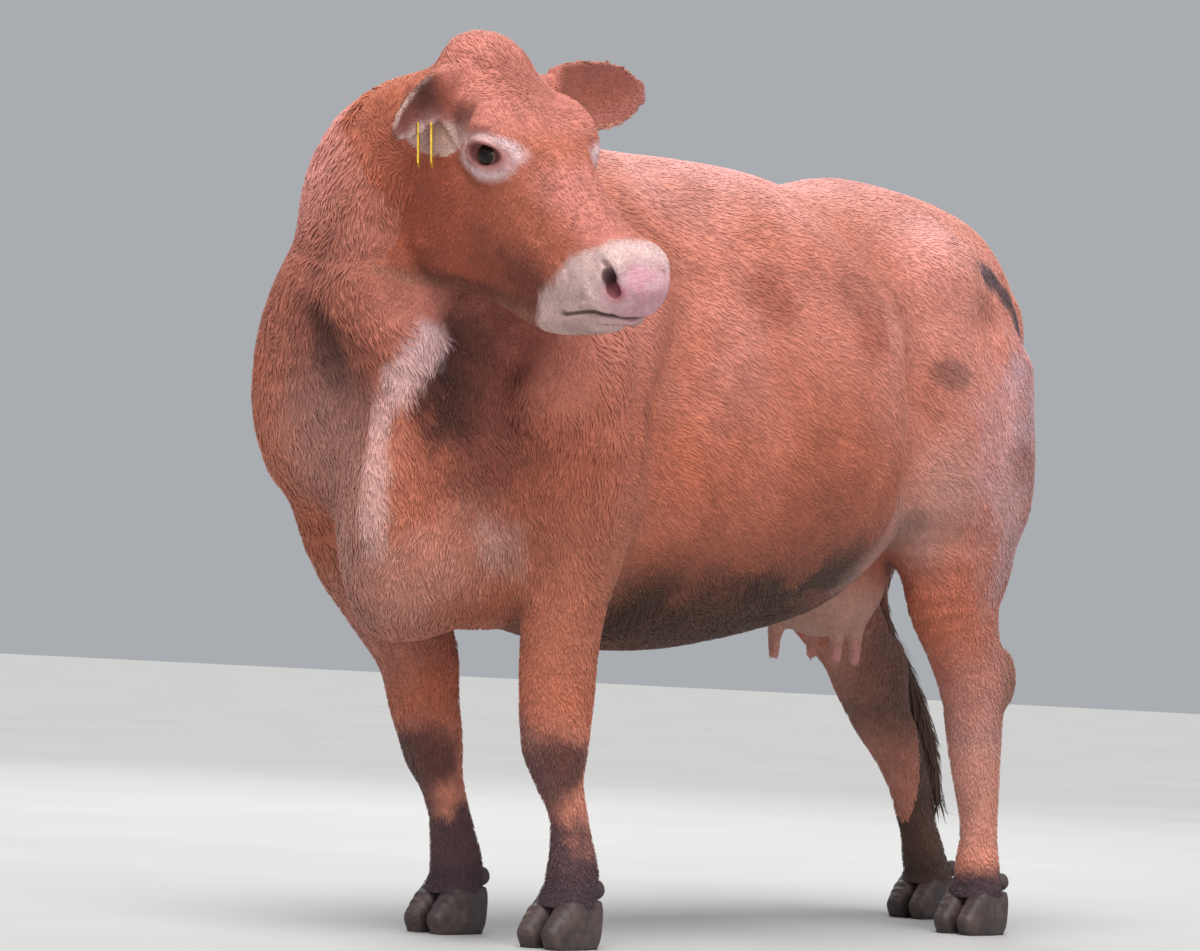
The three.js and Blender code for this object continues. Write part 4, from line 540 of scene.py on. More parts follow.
def surface_nets(val, lo, h):
    neg = val < 0
    c = np.zeros(np.array(val.shape) - 1, np.uint8)
    corner = [(i, j, k) for i in (0, 1) for j in (0, 1) for k in (0, 1)]
    sl = lambda i, j, k: (slice(i, val.shape[0] - 1 + i), slice(j, val.shape[1] - 1 + j), slice(k, val.shape[2] - 1 + k))
    for o in corner:
        c += neg[sl(*o)]
    cell = np.stack(np.nonzero((c > 0) & (c < 8)), 1)
    v8 = np.stack([val[cell[:, 0] + i, cell[:, 1] + j, cell[:, 2] + k] for i, j, k in corner], 1).astype(float)
    s = np.zeros((len(cell), 3))
    cnt = np.zeros(len(cell))
    for a in range(8):
        for b in range(a + 1, 8):
            A, B = np.array(corner[a]), np.array(corner[b])
            if np.abs(A - B).sum() != 1:
                continue
            m = (v8[:, a] < 0) != (v8[:, b] < 0)
            t = v8[m, a] / (v8[m, a] - v8[m, b])
            s[m] += A + (B - A) * t[:, None]
            cnt[m] += 1
    V = lo + (cell + s / cnt[:, None]) * h
    vid = np.full(c.shape, -1, np.int32)
    vid[cell[:, 0], cell[:, 1], cell[:, 2]] = np.arange(len(cell))
    F = []
    for ax in range(3):
        sa = [slice(1, -1)] * 3
        sb = [slice(1, -1)] * 3
        sb[ax] = slice(2, None)
        A, B = neg[tuple(sa)], neg[tuple(sb)]
        e = np.stack(np.nonzero(A != B), 1) + 1
        o1, o2 = [(1, 2), (2, 0), (0, 1)][ax]
        g = lambda d1, d2: vid[tuple((e + np.eye(3, dtype=int)[o1] * d1 + np.eye(3, dtype=int)[o2] * d2).T)]
        q = np.stack([g(-1, -1), g(0, -1), g(0, 0), g(-1, 0)], 1)
        out = neg[tuple(e.T)]
        q[~out] = q[~out][:, ::-1]
        F.append(q)
    F = np.concatenate(F)
    d1 = np.linalg.norm(V[F[:, 0]] - V[F[:, 2]], axis=1)
    d2 = np.linalg.norm(V[F[:, 1]] - V[F[:, 3]], axis=1)
    m = d1 <= d2
    T = np.concatenate([F[m][:, [0, 1, 2]], F[m][:, [0, 2, 3]], F[~m][:, [0, 1, 3]], F[~m][:, [1, 2, 3]]])
    return V, T


def edges_of(F, n):
    e = np.concatenate([F[:, [0, 1]], F[:, [1, 2]], F[:, [2, 0]]])
    e.sort(axis=1)
    return np.unique(e[:, 0].astype(np.int64) * n + e[:, 1])


def laplace(V, F, rounds, lam=0.5, mu=-0.52, mask=None):
    n = len(V)
    e = edges_of(F, n)
    a, b = e // n, e % n
    deg = np.bincount(a, minlength=n) + np.bincount(b, minlength=n)
    for r in range(rounds * 2):
        k = lam if r % 2 == 0 else mu
        S = np.stack([np.bincount(a, V[b, c], n) + np.bincount(b, V[a, c], n) for c in range(3)], 1)
        d = S / np.maximum(deg, 1)[:, None] - V
        V = V + k * d * (1 if mask is None else mask[:, None])
    return V


def refine(V, F, want):
    """splits every triangle edge whose two ends are wanted"""
    n = len(V)
    E = np.sort(np.stack([F[:, [0, 1]], F[:, [1, 2]], F[:, [2, 0]]], 1), axis=2)
    m = want[E[..., 0]] & want[E[..., 1]]
    key = E[..., 0].astype(np.int64) * n + E[..., 1]
    uk = np.unique(key[m])
    mid = np.where(m, n + np.searchsorted(uk, key), -1)
    V2 = np.concatenate([V, (V[uk // n] + V[uk % n]) / 2])
    cnt = m.sum(1)
    out = [F[cnt == 0]]
    for k in range(3):
        r = [k, (k + 1) % 3, (k + 2) % 3]
        a = (cnt == 1) & m[:, k]
        f, q = F[a][:, r], mid[a, k]
        out += [np.stack([f[:, 0], q, f[:, 2]], 1), np.stack([q, f[:, 1], f[:, 2]], 1)]
        a = (cnt == 2) & ~m[:, k]            # edges k+1 and k+2 are split
        f, q1, q2 = F[a][:, r], mid[a, r[1]], mid[a, r[2]]
        out += [np.stack([f[:, 2], q2, q1], 1), np.stack([f[:, 0], f[:, 1], q1], 1), np.stack([f[:, 0], q1, q2], 1)]
    a = cnt == 3
    f, q = F[a], mid[a]
    out += [np.stack([f[:, 0], q[:, 0], q[:, 2]], 1), np.stack([q[:, 0], f[:, 1], q[:, 1]], 1), np.stack([q[:, 2], q[:, 1], f[:, 2]], 1), q]
    return V2, np.concatenate(out)


def gradient(prims, P, e=0.0008):
    g = np.zeros_like(P)
    for c in range(3):
        d = np.zeros(3)
        d[c] = e
        g[:, c] = (field(prims, P + d) - field(prims, P - d)) / (2 * e)
    return g


def project(prims, P, level, rounds=2, most=0.004):
    for _ in range(rounds):
        f = field(prims, P) - level
        g = gradient(prims, P)
        step = f[:, None] * g / np.maximum((g * g).sum(1), 0.05)[:, None]
        l = np.linalg.norm(step, axis=1, keepdims=True)
        P = P - step * np.minimum(1, most / np.maximum(l, 1e-9))
    return P


def vertex_normals(V, F):
    n = np.cross(V[F[:, 1]] - V[F[:, 0]], V[F[:, 2]] - V[F[:, 0]])
    N = np.zeros_like(V)
    for c in range(3):
        for k in range(3):
            N[:, c] += np.bincount(F[:, k], n[:, c], len(V))
    return unit(N)


def smoothstep(a, b, x):
    t = np.clip((x - a) / (b - a), 0, 1)
    return t * t * (3 - 2 * t)


def falloff(P, c, r, power=1.0):
    s = (((P - np.array(c)) / np.array(r)) ** 2).sum(1)
    return np.exp(-s * power)

# ------------------------------------------------------------------ coat depth: how far the skin lies under the outline
def coat_depth(P):
    """metres of coat over the skin at body points"""
    l, s, u = to_head(P)
    face = smoothstep(0.02, 0.14, s) * smoothstep(0.24, 0.16, np.abs(l)) * (np.abs(u + 0.1) < 0.32) * (np.linalg.norm(P - HO, axis=1) < 0.75)
    d = np.full(len(P), 0.0055)
    d += 0.0030 * np.clip(falloff(P, (0.0, -0.80, 1.0), (0.30, 0.16, 0.40)), 0, 1)
    low = smoothstep(0.62, 0.44, P[:, 2])
    d = d * (1 - low) + 0.0028 * low
    d = d * (1 - 0.8 * (P[:, 2] < 0.14) * smoothstep(0.14, 0.09, P[:, 2]))
    d = d * (1 - face) + 0.0022 * face
    noseward = smoothstep(0.40, 0.46, s) * face
    d = d * (1 - noseward) + 0.0006 * noseward
    for s_, c, front in EYES:
        e = falloff(P, c, (0.05, 0.05, 0.05))
        d = d * (1 - e) + 0.0008 * e
    for e in (EAR_LEFT, EAR_RIGHT):
        mid = on_head(*e["rows"][3][:3])
        g = falloff(P, mid, (0.11, 0.11, 0.11))
        d = np.where(g > 0.4, np.minimum(d, 0.0014), d)
    ud = falloff(P, (0.0, 0.385, 0.56), (0.12, 0.13, 0.09))
    d = d * (1 - 0.8 * np.clip(ud * 1.5, 0, 1))
    return d / STATURE


def skin_field(P):
    return np.maximum(field(flesh, P) + coat_depth(P), 0.068 - P[:, 2])


def build_skin():
    lo = np.array([min(p["lo"][c] for p in flesh if p["kind"] == "tube") for c in range(3)])
    hi = np.array([max(p["hi"][c] for p in flesh if p["kind"] == "tube") for c in range(3)])
    lo = np.maximum(lo, [-0.45, -1.15, 0.03])
    hi = np.minimum(hi, [0.68, 1.08, 1.56])
    val = sample_grid(skin_field, lo, hi, GRID)
    V, F = surface_nets(val, lo, GRID)
    V = laplace(V, F, 3)
    return V, F


def components(F, n):
    lab = np.arange(n)
    e = np.concatenate([F[:, [0, 1]], F[:, [1, 2]]])
    while True:
        m = np.minimum(lab[e[:, 0]], lab[e[:, 1]])
        new = lab.copy()
        np.minimum.at(new, e[:, 0], m)
        np.minimum.at(new, e[:, 1], m)
        new = new[new]
        if (new == lab).all():
            return lab
        lab = new


def finish_skin(V, F):
    lab = components(F, len(V))
    keep = np.bincount(lab, minlength=len(V)).argmax()
    used = np.nonzero(lab == keep)[0]
    re = np.full(len(V), -1)
    re[used] = np.arange(len(used))
    F = re[F[lab[F[:, 0]] == keep]]
    V = V[used]
    # finer triangles on the head and ears, finer again at eyes, nostrils, mouth
    l, s, u = to_head(V)
    head = (s > -0.02) & (s < 0.56) & (np.abs(l) < 0.30) & (np.abs(u + 0.10) < 0.26) & (np.linalg.norm(V - HO, axis=1) < 0.62)
    head &= ~((V[:, 2] < 1.08) & (V[:, 0] < 0.30))
    V, F = refine(V, F, head)
    V = laplace(V, F, 1)
    close = np.zeros(len(V), bool)
    for s_, c, front in EYES:
        close |= np.linalg.norm(V - front, axis=1) < 0.062
    for c in (1, -1):
        close |= np.linalg.norm(V - on_head(c * 0.044, 0.475, -0.06), axis=1) < 0.050
    l, s, u = to_head(V)
    close |= (s > 0.39) & (s < 0.56) & (np.abs(l) < 0.08) & (u < -0.085) & (u > -0.20)
    V, F = refine(V, F, close)
    near = np.zeros(len(V), bool)
    for s_, c, front in EYES:
        near |= np.linalg.norm(V - front, axis=1) < 0.046
    V, F = refine(V, F, near)
    l, s, u = to_head(V)
    face = np.nonzero((np.linalg.norm(V - HO, axis=1) < 0.66) & (s > -0.01) & (u > -0.36) & (u < 0.12))[0]
    V[face] = project_skin(V[face], 1)
    fine = face[near_face(V[face])]
    V[fine] = project_skin(V[fine], 1)
    return V, F


def near_face(P):
    m = np.zeros(len(P), bool)
    for s_, c, front in EYES:
        m |= np.linalg.norm(P - front, axis=1) < 0.06
    l, s, u = to_head(P)
    return m | (s > 0.37)


def project_skin(P, rounds=2, most=0.0035):
    e = 0.0007
    for _ in range(rounds):
        d = coat_depth(P)
        f0 = field(flesh, P)
        f = f0 + d
        g = np.stack([(field(flesh, P + e * k) - f0) / e for k in np.eye(3)], 1)
        step = f[:, None] * g / np.maximum((g * g).sum(1), 0.15)[:, None]
        l = np.linalg.norm(step, axis=1, keepdims=True)
        P = P - step * np.minimum(1, most / np.maximum(l, 1e-9))
    return P


def to_world(P):
    return (P * STATURE + SHIFT).astype(np.float32)


def make_mesh(name, V, F, smooth=True, material=None, world=True):
    me = bpy.data.meshes.new(name)
    V = to_world(V) if world else np.asarray(V, np.float32)
    F = np.asarray(F, np.int32)
    me.vertices.add(len(V))
    me.vertices.foreach_set("co", V.ravel())
    k = F.shape[1]
    me.loops.add(len(F) * k)
    me.loops.foreach_set("vertex_index", F.ravel())
    me.polygons.add(len(F))
    me.polygons.foreach_set("loop_start", np.arange(0, len(F) * k, k, dtype=np.int32))
    me.polygons.foreach_set("use_smooth", np.full(len(F), smooth))
    me.update(calc_edges=True)
    ob = bpy.data.objects.new(name, me)
    bpy.context.scene.collection.objects.link(ob)
    if material:
        me.materials.append(material)
    return ob

# ------------------------------------------------------------------ value noise for markings (numpy, seeded)
LAT = np.random.default_rng(11).random((64, 64, 64)).astype(np.float32)


def vnoise(P, size, seed=0.0):
    """smooth noise in 0..1 with cells of the given size (table units)"""
    q = P / size + seed * 17.31 + 100.0
    i = np.floor(q).astype(int)
    f = q - i
    f = f * f * (3 - 2 * f)
    i0, i1 = i & 63, (i + 1) & 63
    r = 0
    for a in (0, 1):
        for b in (0, 1):
            for c in (0, 1):
                w = (f[:, 0] if a else 1 - f[:, 0]) * (f[:, 1] if b else 1 - f[:, 1]) * (f[:, 2] if c else 1 - f[:, 2])
                r = r + w * LAT[(i1 if a else i0)[:, 0], (i1 if b else i0)[:, 1], (i1 if c else i0)[:, 2]]
    return r


def fbm(P, size, seed=0.0, octaves=3):
    t, w = 0, 0
    for o in range(octaves):
        t = t + vnoise(P, size / 2 ** o, seed + o) * 0.55 ** o
        w += 0.55 ** o
    return t / w


def mix(c, d, m):
    m = np.clip(m, 0, 1)[:, None]
    return c * (1 - m) + np.asarray(d, float) * m


def blob(P, c, r, soft=0.55, rough=0.0, seed=3.0):
    """1 inside an ellipsoid, 0 outside, with a soft, ragged edge"""
    s = np.sqrt((((P - np.array(c)) / np.array(r)) ** 2).sum(1))
    if rough:
        s = s + (fbm(P, 0.045, seed) - 0.5) * rough
    return 1 - smoothstep(1 - soft, 1 + soft, s)


RED = (0.520, 0.150, 0.082)
HIGHLIT_RED = (0.720, 0.275, 0.195)
DARK = (0.200, 0.048, 0.028)
GREY = (0.330, 0.190, 0.190)
MUD = (0.066, 0.026, 0.014)
DUNG = (0.055, 0.040, 0.042)
FOREHEAD = (0.620, 0.225, 0.180)
SHADED_CHEEK = (0.320, 0.062, 0.032)
MUZZLE = (0.740, 0.510, 0.485)
NOSEPAD = (0.580, 0.275, 0.330)
EYERING = (0.850, 0.620, 0.640)
PALE = (0.540, 0.310, 0.265)


def colour(P, N=None):
    """linear colour of coat and skin at points in table units"""
    x, y, z = P[:, 0], P[:, 1], P[:, 2]
    big, mid_, fine = fbm(P, 0.22, 1.0), fbm(P, 0.08, 5.0), fbm(P, 0.022, 9.0, 2)
    C = np.tile(np.array(RED), (len(P), 1))
    # painted highlight over the upper flank, shoulder and back, broken up by random tone, and painted shade darkening
    # the lower sides of the barrel
    C = mix(C, HIGHLIT_RED, smoothstep(0.40, 0.75, big) * 0.45 * smoothstep(0.55, 0.9, z))
    C = mix(C, HIGHLIT_RED, blob(P, (0.36, 0.05, 1.12), (0.15, 0.34, 0.14), 0.7) * 0.30)
    C = mix(C, HIGHLIT_RED, blob(P, (0.27, 0.44, 1.22), (0.14, 0.20, 0.12), 0.7) * 0.40)
    C = mix(C, HIGHLIT_RED, blob(P, (0.0, 0.0, 1.37), (0.16, 0.95, 0.07), 0.6) * 0.30)
    # painted shade on the lower sides of the barrel
    C = mix(C, (0.32, 0.088, 0.052), blob(P, (0.0, -0.05, 0.66), (0.42, 0.42, 0.16), 0.5) * 0.6)
    C = mix(C, DARK, smoothstep(0.52, 0.68, mid_) * 0.22)
    # rump and thigh
    # painted highlight on the top of the rump
    C = mix(C, HIGHLIT_RED, blob(P, (0.27, 0.62, 1.10), (0.10, 0.20, 0.24), 0.6) * 0.35)
    C = mix(C, (0.42, 0.140, 0.095), blob(P, (0.27, 0.55, 0.80), (0.10, 0.20, 0.16), 0.6) * 0.5)
    C = mix(C, (0.49, 0.290, 0.295), blob(P, (0.26, 0.70, 0.86), (0.13, 0.20, 0.25), 0.4, 0.7) * (0.55 + 0.4 * smoothstep(0.42, 0.6, mid_)))
    C = mix(C, GREY, blob(P, (0.17, 0.80, 0.86), (0.16, 0.11, 0.26), 0.5, 0.7) * 0.75)
    C = mix(C, (0.16, 0.055, 0.040), blob(P, (0.277, 0.385, 1.045), (0.03, 0.055, 0.026), 0.5, 1.0, 35.0) * 0.65)
    C = mix(C, (0.36, 0.085, 0.045), blob(P, (0.297, -0.20, 1.13), (0.05, 0.055, 0.055), 0.5, 0.9, 36.0) * 0.75)
    C = mix(C, (0.36, 0.085, 0.045), blob(P, (0.340, 0.05, 1.09), (0.05, 0.05, 0.045), 0.5, 0.9, 37.0) * 0.65)
    C = mix(C, GREY, blob(P, (-0.17, 0.82, 0.86), (0.16, 0.11, 0.26), 0.5, 0.7) * 0.75)
    C = mix(C, PALE, blob(P, (0.22, 0.40, 0.82), (0.09, 0.09, 0.12), 0.6) * 0.6)
    # neck: painted shade over the neck, dark curls, painted highlight on the top, pale dewlap band, painted shadow in
    # the hollow behind it and in the crease on its far side
    neck = blob(P, (0.0, -0.80, 1.10), (0.26, 0.17, 0.30), 0.5)
    # painted shade over the whole neck
    C = mix(C, (0.33, 0.090, 0.058), neck * 0.70)
    C = mix(C, DARK, neck * smoothstep(0.45, 0.65, fbm(P, 0.06, 21.0)) * 0.6)
    # painted highlight on the top of the neck
    C = mix(C, HIGHLIT_RED, blob(P, (-0.08, -0.78, 1.30), (0.17, 0.20, 0.15), 0.6) * 0.8)
    C = mix(C, (0.46, 0.235, 0.200), blob(P, (-0.06, -0.91, 0.78), (0.10, 0.08, 0.16), 0.5, 0.6) * 0.6)
    # painted shadow in the hollow between the dewlap and the left shoulder
    C = mix(C, (0.085, 0.022, 0.016), blob(P, (0.185, -0.81, 0.86), (0.072, 0.09, 0.16), 0.5, 0.8) * 0.85)
    C = mix(C, (0.007, 0.002, 0.002), blob(P, (0.155, -0.850, 0.925), (0.050, 0.075, 0.105), 0.50, 0.8) * 0.97)
    for c, r in (((0.118, -0.885, 0.99), (0.022, 0.04, 0.040)), ((0.097, -0.892, 0.962), (0.022, 0.04, 0.042)), ((0.078, -0.90, 0.93), (0.024, 0.04, 0.050)), ((0.052, -0.91, 0.86), (0.022, 0.04, 0.055)), ((0.048, -0.91, 0.78), (0.024, 0.04, 0.055)), ((0.042, -0.91, 0.70), (0.026, 0.04, 0.055))):
        C = mix(C, (0.72, 0.420, 0.380), blob(P, c, r, 0.40, 0.5) * 0.88)
    # painted shade in the crease on the far side of the dewlap
    C = mix(C, (0.16, 0.042, 0.026), blob(P, (-0.015, -0.95, 1.00), (0.070, 0.09, 0.17), 0.7, 1.1) * 0.55)
    C = mix(C, (0.055, 0.014, 0.010), blob(P, (-0.030, -0.965, 0.96), (0.024, 0.05, 0.12), 0.7, 1.3) * 0.85)
    C = mix(C, (0.50, 0.215, 0.160), blob(P, (0.120, -0.76, 0.66), (0.075, 0.09, 0.080), 0.7, 0.9) * 0.55)
    C = mix(C, (0.66, 0.430, 0.380), blob(P, (0.158, -0.70, 0.665), (0.016, 0.06, 0.062), 0.7, 1.2) * 0.65)
    C = mix(C, (0.33, 0.105, 0.060), blob(P, (0.02, -0.80, 0.545), (0.14, 0.12, 0.035), 0.5, 0.5) * 0.6)
    C = mix(C, PALE, blob(P, (0.0, -0.85, 0.60), (0.12, 0.14, 0.10), 0.5, 0.4) * 0.45)
    C = mix(C, (0.46, 0.215, 0.165), blob(P, (-0.08, -0.90, 0.76), (0.13, 0.12, 0.20), 0.6) * 0.55)
    # painted shade on the left shoulder
    C = mix(C, (0.44, 0.125, 0.080), blob(P, (0.22, -0.66, 0.95), (0.12, 0.20, 0.28), 0.5) * 0.45)
    # belly: wet mud in curls, pale fringe in the flank
    under = smoothstep(-0.25, -0.75, N[:, 2]) if N is not None else np.zeros(len(P))
    belly = under * smoothstep(-0.62, -0.45, y) * smoothstep(0.42, 0.28, y) * smoothstep(0.50, 0.55, z)
    C = mix(C, MUD, belly * (0.65 + 0.5 * smoothstep(0.35, 0.6, mid_)))
    edge = blob(P, (0.0, -0.10, 0.555), (0.36, 0.42, 0.085), 0.35, 0.9, 31.0)
    C = mix(C, MUD, edge * 0.85)
    C = mix(C, PALE, blob(P, (0.22, 0.24, 0.72), (0.06, 0.14, 0.10), 0.5, 0.6) * 0.55)
    # legs: forearms light, knees dark, shins mixed, feet muddy
    fore = blob(P, (0.185, -0.58, 0.62), (0.12, 0.15, 0.20), 0.4) + blob(P, (-0.19, -0.60, 0.62), (0.12, 0.15, 0.20), 0.4)
    C = mix(C, (0.43, 0.150, 0.090), fore * 0.6)
    C = mix(C, (0.52, 0.250, 0.210), blob(P, (-0.19, -0.60, 0.60), (0.10, 0.13, 0.16), 0.5, 0.6) * 0.55)
    C = mix(C, (0.56, 0.285, 0.255), blob(P, (0.21, 0.64, 0.44), (0.09, 0.12, 0.20), 0.6, 0.8) * 0.55)
    C = mix(C, (0.60, 0.300, 0.270), blob(P, (0.27, 0.60, 0.92), (0.09, 0.14, 0.15), 0.7, 0.8) * 0.55)
    C = mix(C, (0.40, 0.225, 0.205), blob(P, (0.195, 0.64, 0.30), (0.07, 0.09, 0.13), 0.5, 0.5) * 0.7)
    C = mix(C, (0.40, 0.240, 0.200), blob(P, (-0.13, 0.72, 0.46), (0.09, 0.15, 0.20), 0.6, 0.8) * 0.6)
    C = mix(C, (0.13, 0.075, 0.058), blob(P, (-0.15, 0.86, 0.40), (0.09, 0.16, 0.22), 0.5, 0.6) * 0.7)
    C = mix(C, (0.22, 0.115, 0.080), blob(P, (0.195, 0.69, 0.47), (0.07, 0.07, 0.09), 0.5, 0.6) * 0.6)
    shin = smoothstep(0.42, 0.30, z)
    C = mix(C, (0.74, 0.310, 0.225), shin * 0.6)
    mudline = z + (fbm(P, 0.05, 41.0) - 0.5) * 0.12 + np.where(y > 0.3, 0.075, 0.0)
    C = mix(C, (0.062, 0.032, 0.044), smoothstep(0.225, 0.175, mudline) * 0.93)
    C = mix(C, (0.045, 0.026, 0.034), smoothstep(0.15, 0.09, z) * 0.8)
    for kx, ky, kz in ((0.205, -0.615, 0.315), (-0.130, -0.57, 0.30)):
        C = mix(C, (0.115, 0.040, 0.036), blob(P, (kx, ky, kz), (0.065, 0.060, 0.062), 0.40, 0.9) * 0.9)
    C = mix(C, (0.17, 0.080, 0.075), blob(P, (0.165, -0.62, 0.27), (0.05, 0.06, 0.12), 0.5, 1.1, 44.0) * 0.7)
    C = mix(C, (0.13, 0.065, 0.055), blob(P, (-0.165, -0.53, 0.26), (0.04, 0.06, 0.14), 0.5, 0.9, 45.0) * 0.8)
    # scattered dung-brown curly patches
    for c, r in (((0.35, -0.02, 0.80), (0.06, 0.07, 0.05)), ((0.33, 0.33, 0.98), (0.06, 0.05, 0.045)), ((0.28, 0.64, 0.90), (0.06, 0.07, 0.05)),
                 ((0.31, 0.03, 1.16), (0.05, 0.07, 0.05)), ((0.26, 0.52, 1.18), (0.05, 0.04, 0.04)), ((-0.33, 0.05, 0.85), (0.06, 0.09, 0.06)), ((-0.28, 0.60, 0.95), (0.06, 0.08, 0.06))):
        C = mix(C, (0.25, 0.070, 0.042), blob(P, c, r, 0.6, 1.5, 51.0) * 0.48)
    # tail head and tail: dung
    C = mix(C, DUNG, blob(P, (0.0, 0.80, 1.28), (0.085, 0.10, 0.10), 0.5, 0.9) * 0.85)
    for c, r in (((0.245, 0.50, 1.270), (0.035, 0.060, 0.026)), ((0.236, 0.565, 1.243), (0.036, 0.055, 0.028)), ((0.222, 0.62, 1.210), (0.038, 0.055, 0.030)), ((0.205, 0.67, 1.170), (0.038, 0.050, 0.032))):
        C = mix(C, DUNG, blob(P, c, r, 0.40, 0.8, 33.0) * 0.90)
    tail = (y > 0.84) & (z < 1.22) & (np.abs(x + 0.12) < 0.16) & (x < 0.03) & ~((z < 0.60) & (y < 0.885))
    C = mix(C, (0.17, 0.085, 0.055), tail * (0.55 + 0.4 * smoothstep(0.4, 0.6, mid_)))
    C = mix(C, (0.075, 0.045, 0.034), tail * smoothstep(0.64, 0.52, z) * 0.85)
    # udder
    C = mix(C, (0.46, 0.245, 0.19), blob(P, (0.005, 0.385, 0.60), (0.14, 0.16, 0.10), 0.35) * 0.9)
    C = mix(C, (0.50, 0.22, 0.21), blob(P, (0.0, 0.39, 0.510), (0.10, 0.10, 0.035), 0.4) * 0.85)
    # lit upper parts are paler and pinker
    w = smoothstep(0.78, 1.15, z)[:, None]
    C = C * (1 + w * np.array([0.12, 0.26, 0.46]))
    w = (smoothstep(1.20, 1.36, z) * smoothstep(-0.72, -0.50, y))[:, None]
    C = C * (1 + w * np.array([0.12, 0.40, 0.66]))
    w = blob(P, (-0.08, -0.78, 1.30), (0.17, 0.20, 0.15), 0.6)[:, None]
    C = C * (1 + w * np.array([0.28, 0.36, 0.55]))
    C = np.minimum(C, 0.90)
    C = head_colour(P, C)
    shade = 0.86 + 0.28 * fine
    return np.clip(C * shade[:, None], 0, 1)


def head_colour(P, C):
    l, s, u = to_head(P)
    dist = np.linalg.norm(P - HO, axis=1)
    on = smoothstep(0.66, 0.60, dist) * (s > -0.06) * (u > np.interp(s, [0.0, 0.12, 0.15, 0.30, 0.45, 0.55], [-0.22, -0.24, -0.33, -0.285, -0.225, -0.20])) * smoothstep(0.20, 0.12, np.abs(l))
    k = np.stack([l, s, u], 1)
    H = C.copy()
    H = mix(H, RED, np.ones(len(P)))
    H = mix(H, FOREHEAD, smoothstep(-0.10, -0.02, u) * smoothstep(0.26, 0.18, s) * 0.8)
    # painted shade on the cheek and on the lower cheek in front of it
    H = mix(H, SHADED_CHEEK, blob(k, (0, 0.17, -0.20), (0.20, 0.15, 0.12), 0.5) * 0.75)
    H = mix(H, (0.29, 0.078, 0.045), blob(k, (0, 0.33, -0.20), (0.14, 0.12, 0.06), 0.5) * 0.5)
    H = mix(H, (0.62, 0.230, 0.190), smoothstep(-0.09, -0.03, u) * smoothstep(0.22, 0.30, s) * 0.75)
    H = mix(H, (0.27, 0.070, 0.042), blob(k, (0, 0.115, 0.0), (0.05, 0.06, 0.04), 0.6, 0.5) * 0.4)
    H = mix(H, DARK, smoothstep(0.55, 0.72, fbm(P, 0.045, 61.0)) * 0.25)
    jawline = np.interp(s, [0.08, 0.166, 0.261, 0.33, 0.414], [-0.325, -0.305, -0.258, -0.222, -0.172])
    onjaw = smoothstep(0.06, 0.13, s) * smoothstep(0.46, 0.40, s)
    H = mix(H, (0.34, 0.150, 0.105), smoothstep(0.004, -0.016, u - jawline) * onjaw * 0.7)
    # dark band along the jaw's lower edge: dark hair, with painted shadow
    H = mix(H, (0.10, 0.028, 0.019), (1 - smoothstep(0.002, 0.022, np.abs(u - jawline + (fbm(P, 0.03, 77.0) - 0.5) * 0.014))) * smoothstep(0.12, 0.20, s) * smoothstep(0.46, 0.38, s) * 0.62)
    # painted shade in the jaw hollow
    H = mix(H, (0.14, 0.035, 0.022), blob(k, (0, 0.345, -0.175), (0.14, 0.050, 0.040), 0.6, 0.6) * 0.6)
    # muzzle: white patch with a ragged border, pink nose pad
    edge = (fbm(P, 0.03, 71.0) - 0.5) * 0.05
    bound = np.interp(u, [-0.20, -0.175, -0.072, -0.038, 0.0], [0.385, 0.372, 0.400, 0.424, 0.440])
    white = smoothstep(-0.010, 0.014, s + edge * 0.5 - bound)
    H = mix(H, MUZZLE, white)
    pad = blob(k, (0, 0.505, -0.068), (0.062, 0.052, 0.052), 0.30, 0.25, 92.0)
    H = mix(H, NOSEPAD, pad * 0.9)
    H = mix(H, (0.60, 0.42, 0.40), smoothstep(0.50, 0.70, fbm(P, 0.018, 91.0)) * white * 0.5)
    H = mix(H, (0.60, 0.36, 0.34), blob(k, (0, 0.49, -0.118), (0.06, 0.06, 0.014), 0.4) * 0.5)
    # painted shade under the lower lip
    H = mix(H, (0.40, 0.24, 0.21), blob(k, (0, 0.45, -0.170), (0.05, 0.05, 0.03), 0.5, 0.6) * 0.5)
    for c in (1, -1):
        H = mix(H, (0.38, 0.11, 0.125), blob(k, (c * 0.040, 0.484, -0.068), (0.0160, 0.020, 0.0165), 0.3) * 0.9)
        # painted shade inside the nostril opening
        H = mix(H, (0.06, 0.018, 0.020), blob(k, (c * 0.046, 0.472, -0.058), (0.0150, 0.0155, 0.0145), 0.35) * 0.97)
    # painted shade along the mouth crease
    mouth = np.abs(u - np.interp(s, [0.405, 0.43, 0.452, 0.476, 0.50], [-0.175, -0.163, -0.140, -0.117, -0.104]))
    H = mix(H, (0.07, 0.025, 0.022), (1 - smoothstep(0.002, 0.0062, mouth)) * smoothstep(0.412, 0.43, s) * 0.9)
    for s_, c, front in EYES:
        q = (P - front)
        ax = head_dir(0, 0.86, 0.50)
        out = unit(front - c)
        up = np.cross(out, ax) * s_
        e = np.stack([q @ ax, q @ unit(up), q @ out], 1)
        ring = np.maximum(blob(e, (0.006, 0.002, 0), (0.060, 0.038, 0.05), 0.25, 0.35, 81.0), blob(e, (0.034, -0.010, 0), (0.044, 0.024, 0.05), 0.3, 0.35, 82.0))
        H = mix(H, EYERING, ring * 0.92)
        H = mix(H, (0.46, 0.150, 0.130), blob(e, (0.006, 0.0, 0), (0.048, 0.026, 0.05), 0.3) * 0.85)
        H = mix(H, (0.20, 0.050, 0.045), blob(e, (0.004, 0.0, 0), (0.036, 0.0185, 0.03), 0.25) * 0.95)
    C = C * (1 - on[:, None]) + H * on[:, None]
